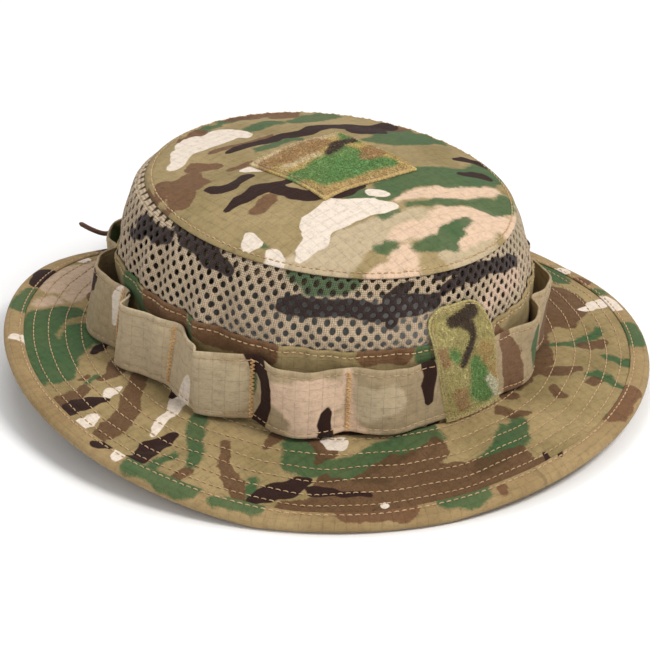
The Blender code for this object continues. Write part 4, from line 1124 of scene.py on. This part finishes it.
for side, sign in (("left", -1.0), ("right", 1.0)):
    line, _ = smooth_route([(d, low, high) for d, low, high in strip_lines[side]], 0.30)
    t = turn(sign * line[:, 0])

    def strip(share, extra=0.0, t=t, line=line):
        """The strip's inner face along its length, at a share of its height."""
        low, high = line[:, 1] / 1000, line[:, 2] / 1000
        off = low + (high - low) * share + extra
        sag = 0.0006 * np.sin(line[:, 0] * 0.21 + 0.7) + np.maximum(off - 0.004, 0.0) * -0.10
        return wall(t, np.full_like(t, LOOP_LOW) + LOOP_H * share, off) + np.stack(
            [np.zeros_like(t), np.zeros_like(t), sag], -1)

    rows = [strip(share, puff + 0.0002) for share, puff in zip(ACROSS, EDGE_PUFF)]
    count = len(line)
    order = 1 if sign > 0 else -1
    faces = ring_faces(len(rows), count, closed=False)
    if sign < 0:
        faces = [f[::-1] for f in faces]
    points = np.concatenate(rows)
    obj = piece(f"foliage_strip_{side}", points, faces, strip_cloth,
                (f"foliage_band_{side}",))
    degrees = np.tile(sign * line[:, 0], len(rows))
    heights = np.repeat(LOOP_LOW * 1000 + LOOP_H * 1000 * ACROSS, count)
    printed(obj, np.stack([degrees * MM_PER_DEGREE, heights], 1), unrolled(strip_print),
            np.stack([degrees * MM_PER_DEGREE / 1000, heights / 1000], 1))
    thickness(obj, 0.0010, outward=True)
    run = np.linalg.norm(np.diff(strip(0.5), axis=0), axis=1).sum()

    def edge_row(share, t=t, line=line, strip=strip):
        def place(u):
            spots = u * (len(line) - 1)
            p = strip(share, 0.00145)
            q = strip(share, 0.00245)
            index = np.arange(len(line))
            out = np.stack([np.interp(spots, index, p[:, k]) for k in range(3)], 1)
            far = np.stack([np.interp(spots, index, q[:, k]) for k in range(3)], 1)
            up = far - out
            return out, up / np.linalg.norm(up, axis=1)[:, None]
        return place

    rows = [sew(edge_row(share), 96, radius=0.00027, rise=0.00015) for share in (0.075, 0.925)]
    sewn_piece(f"strip_stitches_{side}", rows, TAN_THREAD)
    # Bar tacks: a dense zigzag of heavier thread, nearly the height of the strip.
    for number, tack in enumerate(TACKS[1:], 1):
        centre_t = turn(sign * tack)
        zig = 30
        shares = np.linspace(0.035, 0.965, zig + 1)
        sides = np.where(np.arange(zig + 1) % 2, 1.0, -1.0) * 0.0011
        foot_off, head_off = (np.interp(tack, line[:, 0], line[:, k]) / 1000 for k in (1, 2))
        knots = wall(centre_t + sides / HEAD_B, LOOP_LOW + LOOP_H * shares,
                     foot_off + (head_off - foot_off) * shares + 0.00155)
        out = wall(centre_t, 0.02, 1.0) - wall(centre_t, 0.02, 0.0)
        out = out / np.linalg.norm(out)

        def zigzag(u, knots=knots, out=out):
            spots = u * (len(knots) - 1)
            index = np.arange(len(knots))
            p = np.stack([np.interp(spots, index, knots[:, k]) for k in range(3)], 1)
            return p, np.tile(out, (len(p), 1))

        p, f = sew(zigzag, zig, run=1.12, radius=0.00040, sink=0.0002, rise=0.00025)
        obj = piece(f"bar_tack_thread_{side}_{number}", p, f, satin,
                    (f"bar_tack_{side}_{number}",))

# ------------------------------------------------------------------ front patch
# A tall tab of loop pile, rounded at the top, sewn over the band and the ends of the two
# strips. Its pile stands up in a short fleece.
FRONT_W, FRONT_H, FRONT_LOW, FRONT_R = 0.0330, 0.0590, 0.0021, 0.0120
FRONT_SHIFT, FRONT_LEAN = 0.0043, 0.0127      # its foot is sewn to one side, its top leans back
patch_print = {
    "khaki": [[(6, 26, 5), (10, 34, 4)], [(12, 22, 3), (14, 12, 3)]],
    "green": [[(3, 28, 3), (4, 21, 5), (3, 12, 6), (8, 8, 4)], [(-8, 36, 3), (-6, 33, 2)]],
    "brown": [[(-13, 38, 2.6), (-12, 32, 2.4)], [(-8, 14, 4.4), (-8, 7, 3.4)]],
    "cream": [[(9, 17, 2.4), (12, 11, 3), (13, 6, 2)]],
    "dark": [[(-4, 51, 3), (1, 51.5, 4), (7, 54, 3.4)], [(2, 49, 3.2), (4, 45, 2.4), (4, 41, 1.6),
                                                        (0, 35, 2.4), (-4, 29, 1.6)]]}


PILE_LAYERS = (("khaki", shade(206, 176, 122)), ("pink", shade(236, 214, 178)),
               ("green", shade(108, 158, 94)), ("brown", shade(180, 142, 104)),
               ("cream", shade(232, 230, 206)), ("dark", shade(78, 62, 50)))


def pile_finish(name, base, deep):
    """Printed loop pile: countless small bent loops, matted, with painted highlights on the loop tops
    and painted shade in the hollows between them.
    """
    pile = Finish(name, Roughness=0.95, Sheen_Weight=0.15, Sheen_Roughness=0.6,
                  Specular_IOR_Level=0.15)
    where = pile.attribute("cloth", vector=True)
    colour = print_colour(pile, where, base, deep, 0.4, PILE_LAYERS)
    loops = pile.noise(where, 1500.0, 3.0, 0.7)
    curls = Num(pile, pile.node("ShaderNodeTexVoronoi", {"feature": "F1"},
                                {"Vector": where, "Scale": 1150.0}).outputs[0])
    matted = pile.noise(where, 260.0, 4.0, 0.65)
    # Painted highlight where the loops and mats stand high, from the same noise that the bump below
    # draws.
    colour = pile.mix((loops * 0.9 + matted * 0.5).ramp(0.45, 0.95) * 0.7, colour,
                      shade(236, 226, 176), "SOFT_LIGHT")
    # Painted shade in the hollows between the loops, where the curls relief sinks.
    colour = pile.mix(curls.ramp(0.25, 0.75) * 0.50, colour, shade(150, 132, 98), "MULTIPLY")
    pile.set(Base_Color=colour, Normal=pile.relief(loops - curls * 0.8, 0.0007, 0.9,
                                                   pile.relief(matted, 0.0012, 0.6)))
    return pile.material


def loop_pile(name, surface, inside, reach, count, finish, shapes):
    """Loops of yarn standing in the pile: each rises, bends over and goes back in."""
    chance = random.Random(11)
    points, cloth, faces = [], [], []
    stations = ((0.0, 0.0), (0.30, 0.75), (0.62, 1.0), (0.90, 0.70), (1.0, 0.1))
    while len(cloth) < count * 15:
        u, v = chance.uniform(*reach[0]), chance.uniform(*reach[1])
        if not inside(u, v):
            continue
        way, size = chance.uniform(0, 2 * math.pi), chance.uniform(0.0007, 0.0014)
        tall, thick = chance.uniform(0.0003, 0.0010), 0.00011
        du, dv = math.cos(way), math.sin(way)
        start = len(cloth)
        for along, high in stations:
            for k in range(3):
                side = math.cos(k * 2.0944) * thick
                cu = u + du * along * size - dv * side
                cv = v + dv * along * size + du * side
                points.append((cu, cv, 0.0016 + tall * high + math.sin(k * 2.0944) * thick))
                cloth.append((u, v))
        for i in range(4):
            for k in range(3):
                n = (k + 1) % 3
                faces.append((start + i * 3 + k, start + i * 3 + n,
                              start + i * 3 + 3 + n, start + i * 3 + 3 + k))
    obj = piece(name, surface(np.array(points)), faces, finish)
    printed(obj, np.array(cloth) * 1000, shapes, np.array(cloth), stray=1.0)
    return obj


def fleece(u, v, scale=1.0):
    """Height of the pile at a point of the cloth, in metres."""
    lump = noise.noise(Vector((u * 2600.0, v * 2600.0, 3.7)))
    clump = noise.noise(Vector((u * 700.0, v * 700.0, 9.1)))
    return scale * (0.00030 * lump + 0.00022 * clump)


def patch_surface(u, v, off):
    """A place on the front patch: u across and v up from its lower edge."""
    h = FRONT_LOW + v
    over = np.clip((h - 0.0440) / 0.0060, 0.0, 1.0)
    over = over * over * (3 - 2 * over)
    u = u + FRONT_SHIFT - FRONT_LEAN * v / FRONT_H
    return wall(u / HEAD_B, h, (0.0031 * (1 - over) + 0.0010 * over) + off)


NU, NV = 70, 120
points, cloth, faces = [], [], []
for j in range(NV + 1):
    v = FRONT_H * j / NV
    rise = v - (FRONT_H - FRONT_R)
    half = FRONT_W / 2
    if rise > 0:
        half -= FRONT_R - math.sqrt(max(FRONT_R ** 2 - rise ** 2, 0.0))
    for i in range(NU + 1):
        u = half * (2 * i / NU - 1)
        rim = min(half - abs(u), v - 0.0026, FRONT_H - v)
        height = 0.0008 * min(1.0, max(half - abs(u), 0.0) / 0.0005, v / 0.0005) ** 0.5
        height += (0.0010 + fleece(u, v)) * min(1.0, max(rim - 0.0022, 0.0) / 0.0012) ** 0.6
        points.append((u, v, height))
        cloth.append((u, v))
points = np.array(points)
shape = patch_surface(points[:, 0], points[:, 1], points[:, 2])
for j in range(NV):
    for i in range(NU):
        a = j * (NU + 1) + i
        faces.append((a, a + 1, a + NU + 2, a + NU + 1))
front_pile = pile_finish("front_pile", shade(208, 198, 142), shade(188, 176, 118))
front_patch = piece("front_patch_backing", shape, faces, front_pile, ("front_patch",))
printed(front_patch, np.array(cloth) * 1000, patch_print, np.array(cloth), stray=1.0)
thickness(front_patch, 0.0006)


def in_front_pile(u, v):
    """Inside the row of stitches round the patch."""
    rise = max(v - (FRONT_H - FRONT_R), 0.0)
    half = FRONT_W / 2 - FRONT_R + math.sqrt(max(FRONT_R ** 2 - rise ** 2, 0.0))
    return half - abs(u) > 0.0020 and v > 0.0046 and FRONT_H - v > 0.0020


loop_pile("front_patch_loops", lambda p: patch_surface(p[:, 0], p[:, 1], p[:, 2] + 0.0001),
          in_front_pile, ((-FRONT_W / 2, FRONT_W / 2), (0.0, FRONT_H)), 4200, front_pile,
          patch_print)


def patch_edge(u):
    """Round the patch 1.4 mm in from its edge."""
    half, top, r = FRONT_W / 2 - 0.0014, FRONT_H - 0.0014, FRONT_R - 0.0014
    corner = math.pi * r / 2
    legs = [top - r - 0.0014, corner, 2 * (half - r), corner, top - r - 0.0014, 2 * half]
    total = sum(legs)
    d = u * total
    x, y = np.zeros_like(d), np.zeros_like(d)
    ends = np.cumsum([0] + legs)
    for n in range(6):
        on = (d >= ends[n]) & (d <= ends[n + 1])
        w = (d[on] - ends[n]) / legs[n]
        if n == 0:
            x[on], y[on] = -half, 0.0014 + w * legs[0]
        elif n == 1:
            x[on], y[on] = -half + r - r * np.cos(w * np.pi / 2), top - r + r * np.sin(w * np.pi / 2)
        elif n == 2:
            x[on], y[on] = -half + r + w * legs[2], top
        elif n == 3:
            x[on], y[on] = half - r + r * np.sin(w * np.pi / 2), top - r + r * np.cos(w * np.pi / 2)
        elif n == 4:
            x[on], y[on] = half, top - r - w * legs[4]
        else:
            x[on], y[on] = half - w * legs[5], 0.0014
    p = patch_surface(x, y, 0.0014)
    up = patch_surface(x, y, 0.0024) - p
    return p, up / np.linalg.norm(up, axis=1)[:, None]


sewn_piece("front_patch_stitches", [sew(patch_edge, 62, radius=0.00026)], TAN_THREAD)

# ------------------------------------------------------------------ top patch
# A square of the same loop pile on the middle of the top panel, sewn down round its edge.
SQUARE = 0.0560
square_print = {
    "khaki": [[(-24, -24, 5), (-8, -26, 5), (6, -25, 5), (20, -25, 4)], [(-26, -10, 3)]],
    "pink": [[(-24, 25, 4), (0, 26, 4), (22, 25, 4)], [(-22, 8, 3), (-4, 9, 3)]],
    "brown": [[(-24, 18, 5), (-8, 18, 6.5), (8, 19, 6)], [(14, -8, 4), (20, -5, 6), (25, 0, 4)],
              [(-16, 16, 6), (-2, 16, 6)]],
    "green": [[(-25, -4, 5), (-16, -8, 9), (-4, -6, 11), (8, -2, 9), (12, 4, 5)],
              [(-18, -16, 6), (-4, -15, 7), (8, -14, 7), (18, -17, 5)], [(24, 14, 5), (26, 22, 4)]],
    "dark": [[(2, 6, 2.4), (8, 9, 3.6), (14, 13, 3.4), (22, 14, 3), (27, 15, 2)]]}
N = 112
points, cloth, faces = [], [], []
for j in range(N + 1):
    for i in range(N + 1):
        u, v = SQUARE * (i / N - 0.5), SQUARE * (j / N - 0.5)
        rim = SQUARE / 2 - max(abs(u), abs(v))
        height = 0.0009 * min(1.0, max(rim, 0.0) / 0.0005) ** 0.5
        height += (0.0009 + fleece(u + 0.3, v)) * min(1.0, max(rim - 0.0018, 0.0) / 0.001) ** 0.6
        bow = 1.0 - 0.012 * math.cos(math.pi * min(abs(v), abs(u)) / SQUARE)
        points.append((u * bow, v * bow, float(top_height(u, v)) + 0.0003 + height))
        cloth.append((u, v))
for j in range(N):
    for i in range(N):
        a = j * (N + 1) + i
        faces.append((a, a + 1, a + N + 2, a + N + 1))
top_pile = pile_finish("top_pile", shade(220, 194, 130), shade(206, 176, 112))
top_patch = piece("top_patch_backing", points, faces, top_pile, ("top_patch",))
printed(top_patch, np.array(cloth) * 1000, square_print, np.array(cloth), stray=1.0)
thickness(top_patch, 0.0006)
loop_pile("top_patch_loops",
          lambda p: np.stack([p[:, 0] * 0.99, p[:, 1] * 0.99,
                              top_height(p[:, 0], p[:, 1]) + 0.0003 + p[:, 2]], 1),
          lambda u, v: max(abs(u), abs(v)) < SQUARE / 2 - 0.0018,
          ((-SQUARE / 2, SQUARE / 2), (-SQUARE / 2, SQUARE / 2)), 6500, top_pile,
          square_print)


def square_edge(u):
    reach = SQUARE / 2 - 0.0016
    d = (u * 4) % 4
    side = np.floor(d).astype(int)
    w = (d - side) * 2 - 1
    x = np.select([side == 0, side == 1, side == 2], [w * reach, reach, -w * reach], -reach)
    y = np.select([side == 0, side == 1, side == 2], [-reach, w * reach, reach], -w * reach)
    z = top_height(x, y) + 0.0018
    return np.stack([x * 0.99, y * 0.99, z], 1), np.tile((0.0, 0.0, 1.0), (len(x), 1))


sewn_piece("top_patch_stitches", [sew(square_edge, 72, radius=0.00026)], TAN_THREAD)

# ------------------------------------------------------------------ cord lock and eyelets
# A moulded brown toggle with a sprung plunger grips both cords. The cords come out of the
# channel through two eyelets of blackened brass.
def moulded(name, colour, rough):
    plastic = Finish(name, Roughness=rough, Specular_IOR_Level=0.45)
    where = plastic.node("ShaderNodeTexCoord").outputs["Object"]
    grain = plastic.noise(where, 1600.0, 3.0)
    wear = plastic.noise(where, 160.0, 4.0, 0.65)
    lighter = tuple(min(1.0, c * 1.35) for c in colour)
    plastic.set(Base_Color=plastic.mix(wear.ramp(0.4, 0.75), colour, lighter),
                Roughness=wear * 0.25 + (rough - 0.1),
                Normal=plastic.relief(grain, 0.00008, 0.5))
    return plastic.material


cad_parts["cord_lock_body"].data.materials[0] = moulded("lock_body", shade(92, 66, 50), 0.5)
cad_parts["cord_lock_plunger"].data.materials[0] = moulded("lock_plunger",
                                                                shade(82, 58, 44), 0.45)
steel = Finish("spring_wire", Metallic=1.0, Roughness=0.3)
where = steel.node("ShaderNodeTexCoord").outputs["Object"]
steel.set(Base_Color=steel.mix(steel.noise(where, 700.0), shade(188, 188, 186), shade(150, 150, 150)),
          Roughness=steel.noise(where, 1200.0) * 0.3 + 0.18)
WIRE_R, COIL_R, COIL_LOW, COIL_HIGH, COIL_TURNS, COIL_STEPS = 0.0003, 0.0033, 0.0200, 0.0280, 4, 24
points, faces = [], []
for n in range(COIL_TURNS * COIL_STEPS + 1):
    a = 2 * math.pi * n / COIL_STEPS
    rise = COIL_LOW + (COIL_HIGH - COIL_LOW) * n / (COIL_TURNS * COIL_STEPS)
    for k in range(10):
        r = COIL_R + WIRE_R * math.cos(k * math.pi / 5)
        points.append((r * math.cos(a), 0.1155 + r * math.sin(a),
                       rise + WIRE_R * math.sin(k * math.pi / 5)))
        if n:
            here, before, turn_on = n * 10, n * 10 - 10, (k + 1) % 10
            faces.append((before + k, before + turn_on, here + turn_on, here + k))
faces += [tuple(range(10)), tuple(range(len(points) - 1, len(points) - 11, -1))]
mesh = bpy.data.meshes.new("lock_spring_coil")
mesh.from_pydata(points, [], faces)
mesh.materials.append(steel.material)
mesh.shade_smooth()
coil = bpy.data.objects.new("lock_spring_coil", mesh)
scene.collection.objects.link(coil)
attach(coil, "cord_lock")
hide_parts("cord_lock_spring")
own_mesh(coil)
brass = Finish("blackened_brass", Metallic=1.0, Roughness=0.4)
where = brass.node("ShaderNodeTexCoord").outputs["Object"]
rubbed = brass.noise(where, 500.0, 4.0, 0.6)
brass.set(Base_Color=brass.mix(rubbed.ramp(0.5, 0.8), shade(62, 54, 44), shade(120, 98, 66)),
          Roughness=rubbed * 0.3 + 0.3, Normal=brass.relief(rubbed, 0.0001, 0.4))
for side in ("left", "right"):
    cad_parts[f"cord_eyelet_{side}"].data.materials[0] = brass.material
